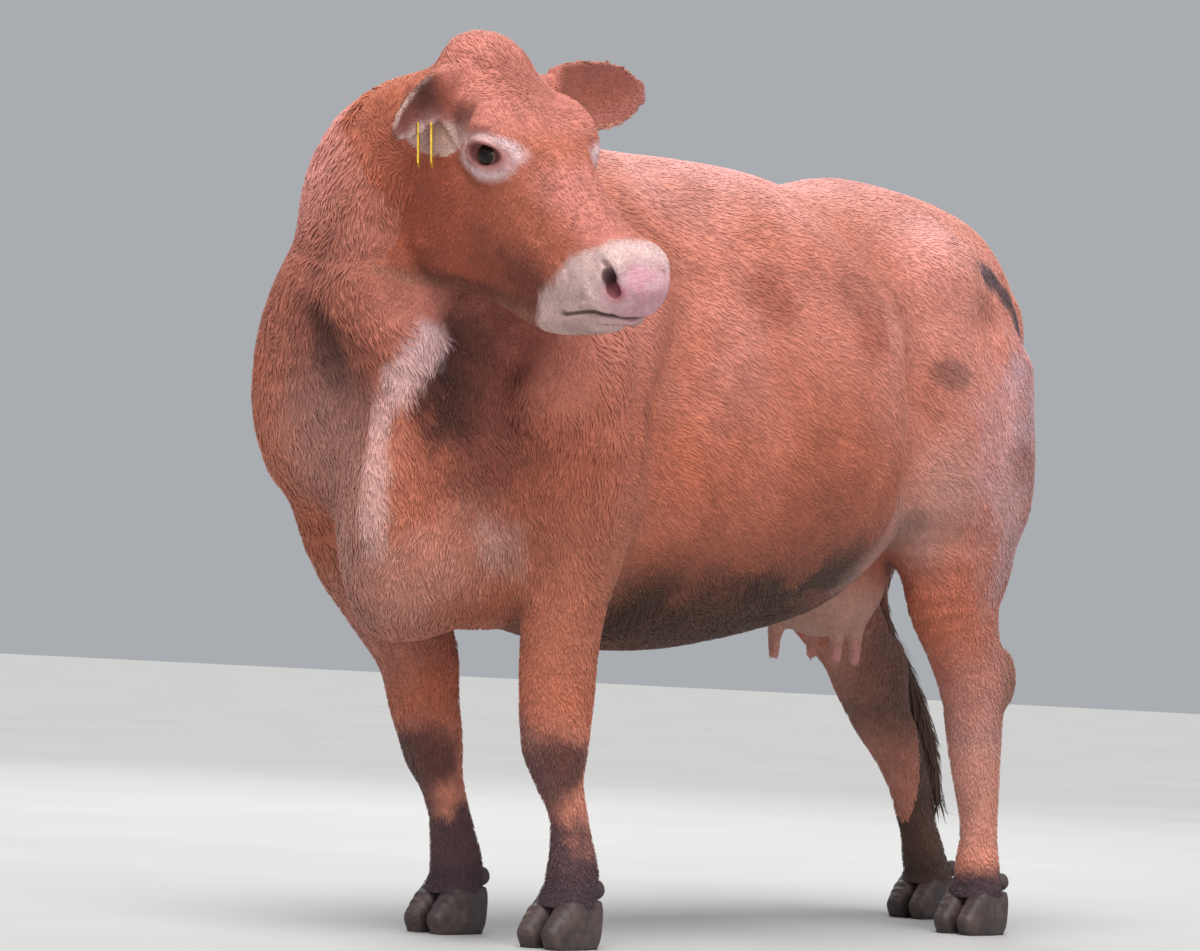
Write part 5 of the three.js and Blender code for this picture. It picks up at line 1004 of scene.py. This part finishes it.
    # ears: red-brown backs, pale rims, pinkish inside
    for e, sgn in ((EAR_LEFT, 1), (EAR_RIGHT, -1)):
        rows = np.array(e["rows"])
        A, B = on_head(*rows[1, :3]), on_head(*rows[-1, :3])
        ax = B - A
        t = np.clip(((P - A) @ ax) / (ax @ ax), 0, 1.1)
        near = np.linalg.norm(P - A - t[:, None] * ax, axis=1)
        Nn = head_dir(*e["N"])
        L2 = unit(np.cross(Nn, ax))
        w = np.abs((P - A - t[:, None] * ax) @ L2)
        hw = np.interp(t, [0, .25, .5, .8, 1], rows[[1, 2, 3, 4, 5], 3] * HS)
        tt = ((P - A) @ ax) / (ax @ ax)
        m = (near < 0.085) * smoothstep(0.0, 0.18, tt)
        C = mix(C, (0.36, 0.105, 0.065), m * 0.9)
        rim = smoothstep(0.62, 0.95, w / hw)
        C = mix(C, (0.62, 0.33, 0.25) if sgn > 0 else (0.62, 0.42, 0.38), m * np.maximum(rim, smoothstep(0.85, 1.0, t)) * smoothstep(0.1, 0.4, tt) * 0.8)
        front = smoothstep(-0.008, 0.002, (P - A - t[:, None] * ax) @ Nn) * smoothstep(0.10, 0.35, tt)
        C = mix(C, (0.40, 0.125, 0.100) if sgn > 0 else (0.30, 0.100, 0.085), m * front * (1 - rim) * 0.85)
        if sgn < 0:
            low = smoothstep(-0.15, 0.75, ((P - A - t[:, None] * ax) @ L2) / hw * (1 if (L2 @ np.array([0, 0, 1.0])) < 0 else -1))
            C = mix(C, (0.70, 0.50, 0.48), m * front * low * smoothstep(0.25, 0.6, tt) * (0.45 + 0.5 * smoothstep(0.4, 0.6, fbm(P, 0.012, 88.0))))
            # painted shade in the hollow of the right ear
            C = mix(C, (0.09, 0.028, 0.022), m * front * (1 - low) * smoothstep(0.75, 0.4, tt) * 0.75)
    return C

# ------------------------------------------------------------------ regions of the coat, with one chart each
LEG_LINES = {"foreleg_left": FORE_LEFT, "foreleg_right": FORE_RIGHT, "hindleg_left": HIND_LEFT, "hindleg_right": HIND_RIGHT}


def region_of(P):
    """names the coat region of each point"""
    x, y, z = P[:, 0], P[:, 1], P[:, 2]
    l, s, u = to_head(P)
    R = np.full(len(P), "trunk_front_left", dtype="<U18")
    R[x < 0] = "trunk_front_right"
    R[(y > 0.02)] = "trunk_rear_left"
    R[(y > 0.02) & (x < 0)] = "trunk_rear_right"
    R[(y > 0.46)] = "rump_left"
    R[(y > 0.46) & (x < 0)] = "rump_right"
    R[(y < -0.58)] = "neck"
    R[(y < -0.58) & (z < 0.98)] = "chest"
    R[(z < 0.585) & (y < -0.36) & (x > 0.09)] = "foreleg_left"
    R[(z < 0.585) & (y < -0.36) & (x < -0.06)] = "foreleg_right"
    R[(z < 0.66) & (y > 0.40) & (x > 0.10)] = "hindleg_left"
    R[(z < 0.66) & (y > 0.44) & (x < -0.095)] = "hindleg_right"
    R[(z < 0.48) & (y > 0.4) & (x > 0)] = "hindleg_left"
    R[(z < 0.48) & (y > 0.4) & (x <= 0)] = "hindleg_right"
    tail = (y > 0.835) & (z < 1.24) & (np.abs(x + 0.12) < 0.16) & (x < 0.035)
    line = np.array(TAIL + SWITCH)[:, :3]
    d = np.min([np.linalg.norm(P - a, axis=1) for a in np.concatenate([line[:-1] + (line[1:] - line[:-1]) * t for t in (0, 0.25, 0.5, 0.75)])], axis=0)
    R[tail & (d < 0.062) & (y > 0.86)] = "tail"
    R[(np.abs(x) < 0.14) & (y > 0.20) & (y < 0.54) & (z < 0.655)] = "udder"
    dist = np.linalg.norm(P - HO, axis=1)
    hd = (dist < 0.64) & (s > -0.04) & (np.abs(l) < 0.145) & ~((s < 0.12) & (u < -0.20)) & (u > -0.36)
    R[hd] = "head"
    ear = (np.abs(l) > 0.085) & (s < 0.16) & (s > 0.02) & (u > -0.15) & (u < 0.06) & (dist < 0.45)
    R[ear] = "ears"
    return R


def flow_of(P, N, R):
    """direction in which the hair lies"""
    x, y, z = P[:, 0], P[:, 1], P[:, 2]
    D = np.zeros_like(P)
    D[:, 1] = 1.0
    D[:, 2] = -0.55
    top = smoothstep(1.25, 1.37, z)
    D[:, 0] = np.sign(x) * 0.25 * top
    low = R == "rump_left"
    for name in ("rump_left", "rump_right"):
        m = R == name
        D[m] = np.stack([np.zeros(m.sum()), 0.55 * np.ones(m.sum()), -1.0 * np.ones(m.sum())], 1)
    m = R == "neck"
    D[m] = np.array([-0.25, 0.62, -0.75])
    m = R == "chest"
    D[m] = np.array([0.0, 0.30, -1.0])
    for name in LEG_LINES:
        D[R == name] = np.array([0.0, 0.25, -1.0])
    D[R == "tail"] = np.array([0.0, 0.06, -1.0])
    D[R == "udder"] = np.array([0.0, 0.3, -1.0])
    # face: out of a whorl on the forehead
    l, s, u = to_head(P)
    m = R == "head"
    whorl = np.stack([l, (s - 0.150) * 1.0], 1)
    r = np.linalg.norm(whorl, axis=1)
    fwd = smoothstep(0.02, 0.14, r)
    swirl = np.stack([whorl[:, 0] + 0.5 * whorl[:, 1], whorl[:, 1] - 0.5 * whorl[:, 0]], 1) / np.maximum(r, 1e-6)[:, None]
    toward = np.where(s[:, None] > 0.15, np.array([0.0, 1.0]), np.array([0.0, -1.0]))
    fl = swirl * (1 - fwd[:, None]) + fwd[:, None] * (0.5 * swirl + toward)
    side = smoothstep(-0.06, -0.14, u)
    H = HL * fl[:, :1] + HF * fl[:, 1:] 
    H = H * (1 - side[:, None]) + side[:, None] * (HF * 0.15 - HU * 0.55 + HF * (s[:, None] > 0.26) * 0.5)
    back = smoothstep(0.12, 0.02, s)[:, None]
    H = H * (1 - back) + back * (-HF * 0.6 + HU * 0.25)
    D[m] = H[m]
    m = R == "ears"
    D[m] = (HL * np.sign(l)[:, None] + HF * 0.15)[m]
    # waves
    sw = (fbm(P, 0.11, 91.0, 2) - 0.5) * 2
    sw2 = (fbm(P, 0.035, 95.0, 2) - 0.5) * 2
    amt = np.full(len(P), 0.35)
    amt2 = np.full(len(P), 0.35)
    for name, a, b in (("neck", 0.7, 1.1), ("chest", 0.6, 0.9), ("rump_left", 0.5, 0.6), ("rump_right", 0.5, 0.6), ("head", 0.15, 0.30),
                       ("ears", 0.2, 0.3), ("tail", 0.3, 0.5), ("foreleg_left", 0.2, 0.3), ("foreleg_right", 0.2, 0.3),
                       ("hindleg_left", 0.3, 0.5), ("hindleg_right", 0.3, 0.5)):
        amt[R == name], amt2[R == name] = a, b
    curly = blob(P, (0.0, -0.10, 0.56), (0.40, 0.42, 0.10), 0.4) + blob(P, (0.0, 0.80, 0.90), (0.24, 0.14, 0.30), 0.4)
    amt2 = amt2 + curly * 1.1
    poll = (R == "head") * smoothstep(0.12, 0.05, s)
    amt2 = amt2 + poll * 1.0
    ang = sw * amt + sw2 * amt2
    D = unit(D - (D * N).sum(1, keepdims=True) * N)
    B = np.cross(N, D)
    return unit(D * np.cos(ang)[:, None] + B * np.sin(ang)[:, None])


def tuft_size(P, R):
    """length, width and lift in metres at points"""
    L = np.full(len(P), 0.0150)
    W = np.full(len(P), 0.0023)
    H = np.full(len(P), 0.0019)
    for name, a, b, c in (("neck", 0.021, 0.0029, 0.0036), ("chest", 0.018, 0.0026, 0.0030), ("head", 0.0080, 0.0019, 0.0016), ("ears", 0.0065, 0.0015, 0.0009),
                          ("foreleg_left", 0.0100, 0.0024, 0.0022), ("foreleg_right", 0.0100, 0.0024, 0.0022), ("hindleg_left", 0.0100, 0.0024, 0.0022),
                          ("hindleg_right", 0.0100, 0.0024, 0.0022), ("tail", 0.022, 0.0028, 0.0030), ("udder", 0.0070, 0.0014, 0.0012)):
        m = R == name
        L[m], W[m], H[m] = a, b, c
    curly = np.clip(blob(P, (0.0, -0.10, 0.56), (0.40, 0.42, 0.10), 0.4) + blob(P, (0.0, 0.80, 0.90), (0.24, 0.14, 0.30), 0.4), 0, 1)
    L = L * (1 + 0.25 * curly)
    H = H * (1 + 1.1 * curly)
    z = P[:, 2]
    sw = (R == "tail") * smoothstep(0.66, 0.56, z)
    L = L * (1 + 1.1 * sw)
    H = H * (1 + 0.6 * sw)
    l, s, u = to_head(P)
    hd = R == "head"
    poll = hd * smoothstep(0.13, 0.04, s)
    L = L * (1 + 0.7 * poll)
    W = W * (1 + 0.2 * poll)
    H = H * (1 + 0.5 * poll)
    nose = hd * smoothstep(0.36, 0.44, s)
    L = L * (1 - 0.50 * nose)
    W = W * (1 - 0.25 * nose)
    H = H * (1 - 0.55 * nose)
    foot = smoothstep(0.20, 0.10, z)
    L = L * (1 - 0.35 * foot)
    for s_, c, front in EYES:
        e = falloff(P, front, (0.055, 0.055, 0.055))
        L = L * (1 - 0.55 * e)
        W = W * (1 - 0.35 * e)
        H = H * (1 - 0.60 * e)
    return L, W, H


def bald(P, R):
    """0 where no hair grows"""
    l, s, u = to_head(P)
    keep = np.ones(len(P))
    keep[R == "udder"] = 0.16
    k = np.stack([l, s, u], 1)
    pad = blob(k, (0, 0.505, -0.068), (0.064, 0.046, 0.048), 0.15)
    keep = keep * (1 - (R == "head") * (pad > 0.45))
    lips = (R == "head") & (s > 0.41) & (np.abs(u - np.interp(s, [0.405, 0.43, 0.452, 0.476, 0.50], [-0.175, -0.163, -0.140, -0.117, -0.104])) < 0.008)
    keep[lips] = 0
    for c in (1, -1):
        keep[(R == "head") & (np.linalg.norm((k - np.array([c * 0.045, 0.476, -0.062])) / np.array([0.022, 0.026, 0.022]), axis=1) < 1)] = 0
    for s_, c, front in EYES:
        q = P - front
        ax = head_dir(0, 0.86, 0.50)
        out = unit(front - c)
        up = unit(np.cross(out, ax))
        e = ((q @ ax - 0.004) / 0.041) ** 2 + ((q @ up) / 0.0235) ** 2
        keep[(e < 1) & (np.linalg.norm(q, axis=1) < 0.05)] = 0
    keep[P[:, 2] < 0.076] = 0
    return keep


def chart(P, name):
    """place on the unwrap of the region, both 0..1"""
    x, y, z = P[:, 0], P[:, 1], P[:, 2]
    l, s, u = to_head(P)
    if name.startswith(("trunk", "rump")):
        a, t = np.arctan2(z - 0.95, np.abs(x)), y
    elif name in LEG_LINES:
        line = np.array(LEG_LINES[name])
        cx, cy = np.interp(z, line[::-1, 2], line[::-1, 0]), np.interp(z, line[::-1, 2], line[::-1, 1])
        a, t = np.arctan2(x - cx, y - cy), z
    elif name == "head":
        a, t = np.arctan2(l, u + 0.11), s
    elif name == "ears":
        a, t = np.where(l > 0, 0, 3.2) + np.arctan2(u + 0.04 + (l < 0) * 0.04, s - 0.09), np.abs(l)
    elif name == "tail":
        line = np.array(TAIL + SWITCH)[:, :3][::-1]
        cx, cy = np.interp(z, line[:, 2], line[:, 0]), np.interp(z, line[:, 2], line[:, 1])
        a, t = np.arctan2(x - cx, y - cy), z
    elif name == "udder":
        a, t = np.arctan2(x, y - 0.385), z
    else:
        a, t = np.arctan2(x + 0.03, -(y + 0.70)), z
    f = lambda v: 0.01 + 0.98 * (v - v.min()) / max(1e-6, np.ptp(v))
    return f(a), f(t)


def scatter(V, F, N, count):
    """roots over the skin, denser where hair is short"""
    A, B, C = V[F[:, 0]], V[F[:, 1]], V[F[:, 2]]
    area = np.linalg.norm(np.cross(B - A, C - A), axis=1) / 2
    mid = (A + B + C) / 3
    R = region_of(mid)
    L, W, H = tuft_size(mid, R)
    weight = area * bald(mid, R) / (L * W) ** 0.72
    pick = rng.choice(len(F), count, p=weight / weight.sum())
    r1, r2 = np.sqrt(rng.random(count)), rng.random(count)
    b = np.stack([1 - r1, r1 * (1 - r2), r1 * r2], 1)
    P = A[pick] * b[:, :1] + B[pick] * b[:, 1:2] + C[pick] * b[:, 2:]
    M = unit(N[F[pick, 0]] * b[:, :1] + N[F[pick, 1]] * b[:, 1:2] + N[F[pick, 2]] * b[:, 2:])
    return P, M


def tufts(P, N, R, C):
    """solid blades: a ridge between two thin edges, one tip"""
    n = len(P)
    D = flow_of(P, N, R)
    L, W, H = tuft_size(P, R)
    L = L / STATURE * (0.70 + 0.6 * rng.random(n))
    W = W / STATURE * (0.75 + 0.5 * rng.random(n))
    H = H / STATURE * (0.75 + 0.45 * rng.random(n))
    jit = (rng.random(n) - 0.5) * 0.34
    S = np.cross(N, D)
    D = D * np.cos(jit)[:, None] + S * np.sin(jit)[:, None]
    S = np.cross(N, D)
    bend = ((rng.random(n) - 0.5) * 0.30)[:, None] * S * L[:, None]
    c = lambda v: v[:, None]
    root = P - N * 0.0006
    mid = P + D * c(L) * 0.48 + N * c(H) * 0.80 + bend * 0.3
    tip = P + D * c(L) + N * c(H) * 0.85 + bend
    ridge = c(W) * 0.22
    V = np.stack([root - S * c(W) * 0.36, root + N * ridge, root + S * c(W) * 0.36,
                  mid - S * c(W) * 0.5, mid + N * ridge, mid + S * c(W) * 0.5, tip], 1)
    T = np.array([[0, 1, 4], [0, 4, 3], [1, 2, 5], [1, 5, 4], [3, 4, 6], [4, 5, 6]])
    F = (np.arange(n)[:, None, None] * 7 + T).reshape(-1, 3)
    var = (0.86 + 0.28 * rng.random((n, 1)))
    warm = 1 + (rng.random((n, 3)) - 0.5) * 0.06
    base = C * var * warm
    # painted shade and highlight on each blade: darker at the root and along the edges, lighter along the ridge and at
    # the tip
    col = np.stack([base * 0.84, base * 0.90, base * 0.84, base * 0.97, base * 1.02, base * 0.97, base * 1.12], 1)
    return V.reshape(-1, 3), F, np.clip(col.reshape(-1, 3), 0, 1)


TUFT_UV = np.array([[-0.5, -0.5], [0, -0.5], [0.5, -0.5], [-0.5, 0], [0, 0], [0.5, 0], [0, 0.5]]) * 0.003


def paint(ob, C, name="Coat"):
    at = ob.data.color_attributes.new(name, "FLOAT_COLOR", "POINT")
    at.data.foreach_set("color", np.concatenate([C, np.ones((len(C), 1))], 1).astype(np.float32).ravel())

# ------------------------------------------------------------------ materials
def tree(name):
    m = bpy.data.materials.new(name)
    m.use_nodes = True
    return m, m.node_tree.nodes, m.node_tree.links, m.node_tree.nodes["Principled BSDF"]


def noise(nodes, links, coord, scale, detail=3.0, rough=0.55, stretch=None):
    src = coord
    if stretch:
        mp = nodes.new("ShaderNodeMapping")
        mp.inputs["Scale"].default_value = stretch
        links.new(coord, mp.inputs["Vector"])
        src = mp.outputs["Vector"]
    t = nodes.new("ShaderNodeTexNoise")
    t.inputs["Scale"].default_value = scale
    t.inputs["Detail"].default_value = detail
    t.inputs["Roughness"].default_value = rough
    links.new(src, t.inputs["Vector"])
    return t


def ramp(nodes, links, fac, stops):
    r = nodes.new("ShaderNodeValToRGB")
    el = r.color_ramp.elements
    while len(el) < len(stops):
        el.new(0.5)
    for e, (p, c) in zip(el, stops):
        e.position = p
        e.color = (*c, 1)
    links.new(fac, r.inputs["Fac"])
    return r


def bump(nodes, links, height, bsdf, dist, strength=1.0):
    b = nodes.new("ShaderNodeBump")
    b.inputs["Distance"].default_value = dist
    b.inputs["Strength"].default_value = strength
    links.new(height, b.inputs["Height"])
    links.new(b.outputs["Normal"], bsdf.inputs["Normal"])
    return b


def coat_material(name, rough, lo, hi, scale, bumps, sheen=0.0, spec=0.3):
    """painted colour, broken by noise, with fine relief"""
    m, nodes, links, b = tree(name)
    at = nodes.new("ShaderNodeVertexColor")
    at.layer_name = "Coat"
    co = nodes.new("ShaderNodeTexCoord").outputs["Object"]
    n = noise(nodes, links, co, scale)
    r = ramp(nodes, links, n.outputs["Fac"], [(0.30, (lo,) * 3), (0.70, (hi,) * 3)])
    mul = nodes.new("ShaderNodeMixRGB")
    mul.blend_type = "MULTIPLY"
    mul.inputs["Fac"].default_value = 1.0
    links.new(at.outputs["Color"], mul.inputs["Color1"])
    links.new(r.outputs["Color"], mul.inputs["Color2"])
    links.new(mul.outputs["Color"], b.inputs["Base Color"])
    b.inputs["Roughness"].default_value = rough
    b.inputs["Specular IOR Level"].default_value = spec
    b.inputs["Sheen Weight"].default_value = sheen
    b.inputs["Sheen Roughness"].default_value = 0.5
    f = noise(nodes, links, co, bumps[0], 4.0)
    bump(nodes, links, f.outputs["Fac"], b, bumps[1])
    return m


SKIN = coat_material("hide_skin", 0.60, 0.84, 1.12, 160.0, (420.0, 0.0020), 0.06, 0.25)
FUR = coat_material("hide_coat", 0.55, 0.88, 1.10, 90.0, (900.0, 0.0006), 0.08, 0.30)
BARE = coat_material("bare_skin", 0.42, 0.90, 1.08, 220.0, (700.0, 0.0008), 0.0, 0.45)
HORN = coat_material("claw_horn", 0.50, 0.75, 1.2, 70.0, (260.0, 0.0012), 0.0, 0.4)


def eye_material():
    m, nodes, links, b = tree("eye_wet")
    at = nodes.new("ShaderNodeVertexColor")
    at.layer_name = "Coat"
    co = nodes.new("ShaderNodeTexCoord").outputs["Object"]
    n = noise(nodes, links, co, 900.0)
    r = ramp(nodes, links, n.outputs["Fac"], [(0.3, (0.8,) * 3), (0.7, (1.15,) * 3)])
    mul = nodes.new("ShaderNodeMixRGB")
    mul.blend_type = "MULTIPLY"
    mul.inputs["Fac"].default_value = 1.0
    links.new(at.outputs["Color"], mul.inputs["Color1"])
    links.new(r.outputs["Color"], mul.inputs["Color2"])
    links.new(mul.outputs["Color"], b.inputs["Base Color"])
    b.inputs["Roughness"].default_value = 0.14
    b.inputs["Specular IOR Level"].default_value = 0.22
    b.inputs["Coat Weight"].default_value = 0.05
    b.inputs["Coat Roughness"].default_value = 0.02
    return m


def tag_material():
    m, nodes, links, b = tree("tag_yellow")
    co = nodes.new("ShaderNodeTexCoord").outputs["Object"]
    n = noise(nodes, links, co, 30.0, 5.0)
    r = ramp(nodes, links, n.outputs["Fac"], [(0.30, (0.62, 0.36, 0.030)), (0.55, (0.84, 0.54, 0.040)), (0.80, (0.88, 0.60, 0.070))])
    d = noise(nodes, links, co, 140.0, 4.0)
    r2 = ramp(nodes, links, d.outputs["Fac"], [(0.35, (0.70, 0.62, 0.5)), (0.55, (1.0, 1.0, 1.0))])
    mul = nodes.new("ShaderNodeMixRGB")
    mul.blend_type = "MULTIPLY"
    mul.inputs["Fac"].default_value = 1.0
    links.new(r.outputs["Color"], mul.inputs["Color1"])
    links.new(r2.outputs["Color"], mul.inputs["Color2"])
    links.new(mul.outputs["Color"], b.inputs["Base Color"])
    b.inputs["Roughness"].default_value = 0.38
    bump(nodes, links, d.outputs["Fac"], b, 0.0006, 0.5)
    return m


def floor_material():
    m, nodes, links, b = tree("studio_floor")
    co = nodes.new("ShaderNodeTexCoord").outputs["Object"]
    n = noise(nodes, links, co, 1.2)
    r = ramp(nodes, links, n.outputs["Fac"], [(0.3, (0.42, 0.42, 0.415)), (0.7, (0.45, 0.45, 0.445))])
    links.new(r.outputs["Color"], b.inputs["Base Color"])
    b.inputs["Roughness"].default_value = 0.8
    f = noise(nodes, links, co, 60.0)
    bump(nodes, links, f.outputs["Fac"], b, 0.001, 0.3)
    return m


# ------------------------------------------------------------------ skin
FLESH_NODES = ["head", "neck", "chest", "barrel", "hindquarters", "ear_left", "ear_right", "tail", "tail_switch", "udder"]
for leg, parts in (("foreleg_left", "forearm"), ("foreleg_right", "forearm"), ("hindleg_left", "gaskin"), ("hindleg_right", "gaskin")):
    FLESH_NODES += [f"{leg}_{parts}", f"{leg}_cannon", f"{leg}_pastern"]

V, F = build_skin()
V, F = finish_skin(V, F)
NV = vertex_normals(V, F)
skin = make_mesh("skin", V, F, True, SKIN)
skin_col = colour(V, NV)
paint(skin, skin_col)
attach(skin, "root")
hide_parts(*FLESH_NODES)

# ------------------------------------------------------------------ coat
COUNT = 205000
P, N = scatter(V, F, NV, COUNT)
R = region_of(P)
C = colour(P, N)
for name in sorted(set(R)):
    m = np.nonzero(R == name)[0]
    parts = max(1, math.ceil(len(m) / 32500))
    a, t = chart(P[m], name)
    order = np.argsort(t)
    for k, ids in enumerate(np.array_split(order, parts)):
        q = m[ids]
        TV, TF, TC = tufts(P[q], N[q], R[q], C[q])
        ob = make_mesh("coat_%s_%d" % (name, k + 1), TV, TF, False, BARE if name == "udder" else FUR)
        paint(ob, TC)
        uv = ob.data.uv_layers.new(name="OFBake")
        per = (np.stack([a[ids], t[ids]], 1)[:, None, :] + TUFT_UV).reshape(-1, 2)
        uv.data.foreach_set("uv", np.clip(per[TF.ravel()], 0, 1).astype(np.float32).ravel())
        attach(ob, "root")

# ------------------------------------------------------------------ claws and dewclaws
LEGS = ["foreleg_left", "foreleg_right", "hindleg_left", "hindleg_right"]
for f, c, prim in claws:
    lo, hi = prim[0]["lo"] * 1.0, prim[0]["hi"] * 1.0
    lo[2], hi[2] = -0.012, 0.094
    fn = lambda Q: np.maximum(np.maximum(field(prim, Q) + 0.0004, -Q[:, 2]), Q[:, 2] - 0.082)
    CV, CF = surface_nets(sample_grid(fn, lo, hi, 0.0034), lo, 0.0034)
    CV = laplace(CV, CF, 3)
    CV[:, 2] = np.where(CV[:, 2] < 0.004, np.maximum(CV[:, 2] * 0.15, 0.0), CV[:, 2])
    ob = make_mesh("claw_%s_%s" % (LEGS[f], "left" if c > 0 else "right"), CV, CF, True, HORN)
    ring = 0.95 + 0.07 * np.sin(CV[:, 2] * 480 + fbm(CV, 0.03, 3.0) * 6)
    base = np.array([[0.058, 0.040, 0.040]]) * ring[:, None]
    base = mix(base, (0.105, 0.070, 0.060), smoothstep(0.45, 0.7, fbm(CV, 0.03, 13.0)) * 0.7)
    base = mix(base, (0.060, 0.036, 0.040), smoothstep(0.055, 0.078, CV[:, 2]) * 0.6)
    paint(ob, np.clip(base, 0, 1))
    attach(ob, "root")
    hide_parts("%s_claw_%s" % (LEGS[f], "left" if c > 0 else "right"))


def egg_mesh(c, r, A, nu=28, nv=18, point=0.0):
    a = np.linspace(0, math.pi, nv + 1)
    b = np.linspace(0, 2 * math.pi, nu, endpoint=False)
    V = [(0, 0, 1)] + [(math.sin(p) * math.cos(q), math.sin(p) * math.sin(q), math.cos(p)) for p in a[1:-1] for q in b] + [(0, 0, -1)]
    V = np.array(V)
    T = [(0, 1 + i, 1 + (i + 1) % nu) for i in range(nu)]
    for j in range(nv - 2):
        for i in range(nu):
            p, q = 1 + j * nu + i, 1 + j * nu + (i + 1) % nu
            T += [(p, p + nu, q + nu), (p, q + nu, q)]
    last, base = len(V) - 1, 1 + (nv - 2) * nu
    T += [(base + i, last, base + (i + 1) % nu) for i in range(nu)]
    return V, np.array(T)


for f, (fx, fy) in enumerate(FEET):
    for c in (1, -1):
        SV, ST = egg_mesh(None, None, None, 20, 14)
        shape = SV * np.array([0.0140, 0.0150, 0.0185]) * (1 - 0.18 * smoothstep(0.0, -1.0, SV[:, 2:3]))
        DV = shape + np.array([fx + c * 0.024, fy + 0.0535, 0.097])
        ob = make_mesh("dewclaw_%s_%s" % (LEGS[f], "left" if c > 0 else "right"), DV, ST, True, HORN)
        paint(ob, np.clip(np.array([[0.06, 0.040, 0.040]]) * (0.8 + 0.5 * fbm(DV, 0.02, 5.0))[:, None], 0, 1))
        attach(ob, "root")

# ------------------------------------------------------------------ eyes
EYE_MAT = eye_material()
for s_, c, front in EYES:
    SV, ST = egg_mesh(None, None, None, 96, 72)
    out = unit(front - c)
    ax = unit(head_dir(0, 0.86, 0.50) - out * (head_dir(0, 0.86, 0.50) @ out))
    up = np.cross(out, ax)
    gaze = unit(out + ax * 0.10)
    ang = np.arccos(np.clip(SV[:, 2], -1, 1))
    r = EYE["r"] * HS * (1 + 0.055 * np.exp(-(ang / 0.62) ** 4))
    ax2 = unit(ax - gaze * (ax @ gaze))
    up2 = np.cross(gaze, ax2)
    EV = c + (SV[:, :1] * ax2 + SV[:, 1:2] * up2 + SV[:, 2:] * gaze) * r[:, None]
    if np.linalg.det(np.array([ax2, up2, gaze])) < 0:
        ST = ST[:, ::-1]
    px, py = SV[:, 0], SV[:, 1]
    col = np.tile(np.array([[0.20, 0.095, 0.075]]), (len(SV), 1))
    iris = 1 - smoothstep(0.92, 1.02, ang)
    lines = 0.75 + 0.5 * vnoise(np.stack([np.arctan2(py, px) * 3.0, ang * 0.5, ang * 0], 1), 0.12, 2.0)
    col = mix(col, (0.016, 0.007, 0.005), iris)
    col = np.where((iris > 0.5)[:, None], col * lines[:, None], col)
    pupil = 1 - smoothstep(0.85, 1.05, np.sqrt((px / 0.52) ** 2 + (py / 0.26) ** 2))
    col = mix(col, (0.0035, 0.003, 0.004), pupil * (SV[:, 2] > 0))
    ob = make_mesh("eyeball_%s" % ("left" if s_ > 0 else "right"), EV, ST, True, EYE_MAT)
    paint(ob, np.clip(col, 0, 1))
    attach(ob, "root")
    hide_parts("eye_left" if s_ > 0 else "eye_right")

# ------------------------------------------------------------------ ear tags keep the CAD plates
TAG_MAT = tag_material()
for name in ("ear_tag_front", "ear_tag_rear"):
    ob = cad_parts[name]
    ob.data.materials.clear()
    ob.data.materials.append(TAG_MAT)

# ------------------------------------------------------------------ floor, light, camera
ring = [(0.0, 0.0, 0.0)]
TRI = []
for j, rad in enumerate((3.0, 9.0, 20.0, 45.0)):
    for i in range(64):
        a = 2 * math.pi * i / 64
        ring.append((rad * math.cos(a), rad * math.sin(a), 0.0))
for i in range(64):
    TRI.append((0, 1 + i, 1 + (i + 1) % 64))
    for j in range(3):
        p, q = 1 + j * 64 + i, 1 + j * 64 + (i + 1) % 64
        TRI += [(p, p + 64, q + 64), (p, q + 64, q)]
floor = make_mesh("floor", np.array(ring), np.array(TRI), False, floor_material(), world=False)
floor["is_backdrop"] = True

world = bpy.data.worlds.new("studio")
bpy.context.scene.world = world
world.use_nodes = True
world.node_tree.nodes["Background"].inputs["Color"].default_value = (0.80, 0.83, 0.87, 1)
world.node_tree.nodes["Background"].inputs["Strength"].default_value = 0.50


def area(name, at, to, size, power, tint=(1, 1, 1)):
    d = bpy.data.lights.new(name, "AREA")
    d.shape = "RECTANGLE"
    d.size, d.size_y = size
    d.energy = power
    d.color = tint
    o = bpy.data.objects.new(name, d)
    at, to = Vector(at), Vector(to)
    o.location = at
    o.rotation_euler = (to - at).to_track_quat("-Z", "Y").to_euler()
    bpy.context.scene.collection.objects.link(o)
    return o


sun = bpy.data.lights.new("sun", "SUN")
sun.energy = 3.7
sun.angle = 0.75
sun.color = (1.0, 0.985, 0.965)
lamp = bpy.data.objects.new("sun", sun)
lamp.rotation_euler = Vector((-0.30, 0.42, -1.0)).to_track_quat("-Z", "Y").to_euler()
bpy.context.scene.collection.objects.link(lamp)
area("side", (6.0, -3.5, 2.2), (0.0, 0.0, 0.8), (3.5, 3.0), 110, (0.98, 0.98, 1.0))
area("back", (-4.0, 3.5, 4.5), (0.0, 0.0, 1.0), (3.5, 3.0), 150)

cam = bpy.data.cameras.new("camera")
cam.lens = 125.67
cam.sensor_width = 36.0
cam.sensor_fit = "HORIZONTAL"
back = np.array([0.6369, -0.7699, -0.0401])
back = back / np.linalg.norm(back)
R0 = np.array([0.7705, 0.6374, 0.0])
R0 = R0 / np.linalg.norm(R0)
U0 = np.cross(back, R0)
roll = 2.9 * math.pi / 180
CR = math.cos(roll) * R0 + math.sin(roll) * U0
CU = -math.sin(roll) * R0 + math.cos(roll) * U0
CC = np.array([4.7026, -5.9653, 0.5130]) * STATURE + SHIFT
camera = bpy.data.objects.new("camera", cam)
camera.matrix_world = Matrix(((CR[0], CU[0], back[0], CC[0]), (CR[1], CU[1], back[1], CC[1]), (CR[2], CU[2], back[2], CC[2]), (0, 0, 0, 1)))
bpy.context.scene.collection.objects.link(camera)
bpy.context.scene.camera = camera
bpy.context.scene.view_settings.view_transform = "Standard"

box = [[float(c) for c in corner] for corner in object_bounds()]
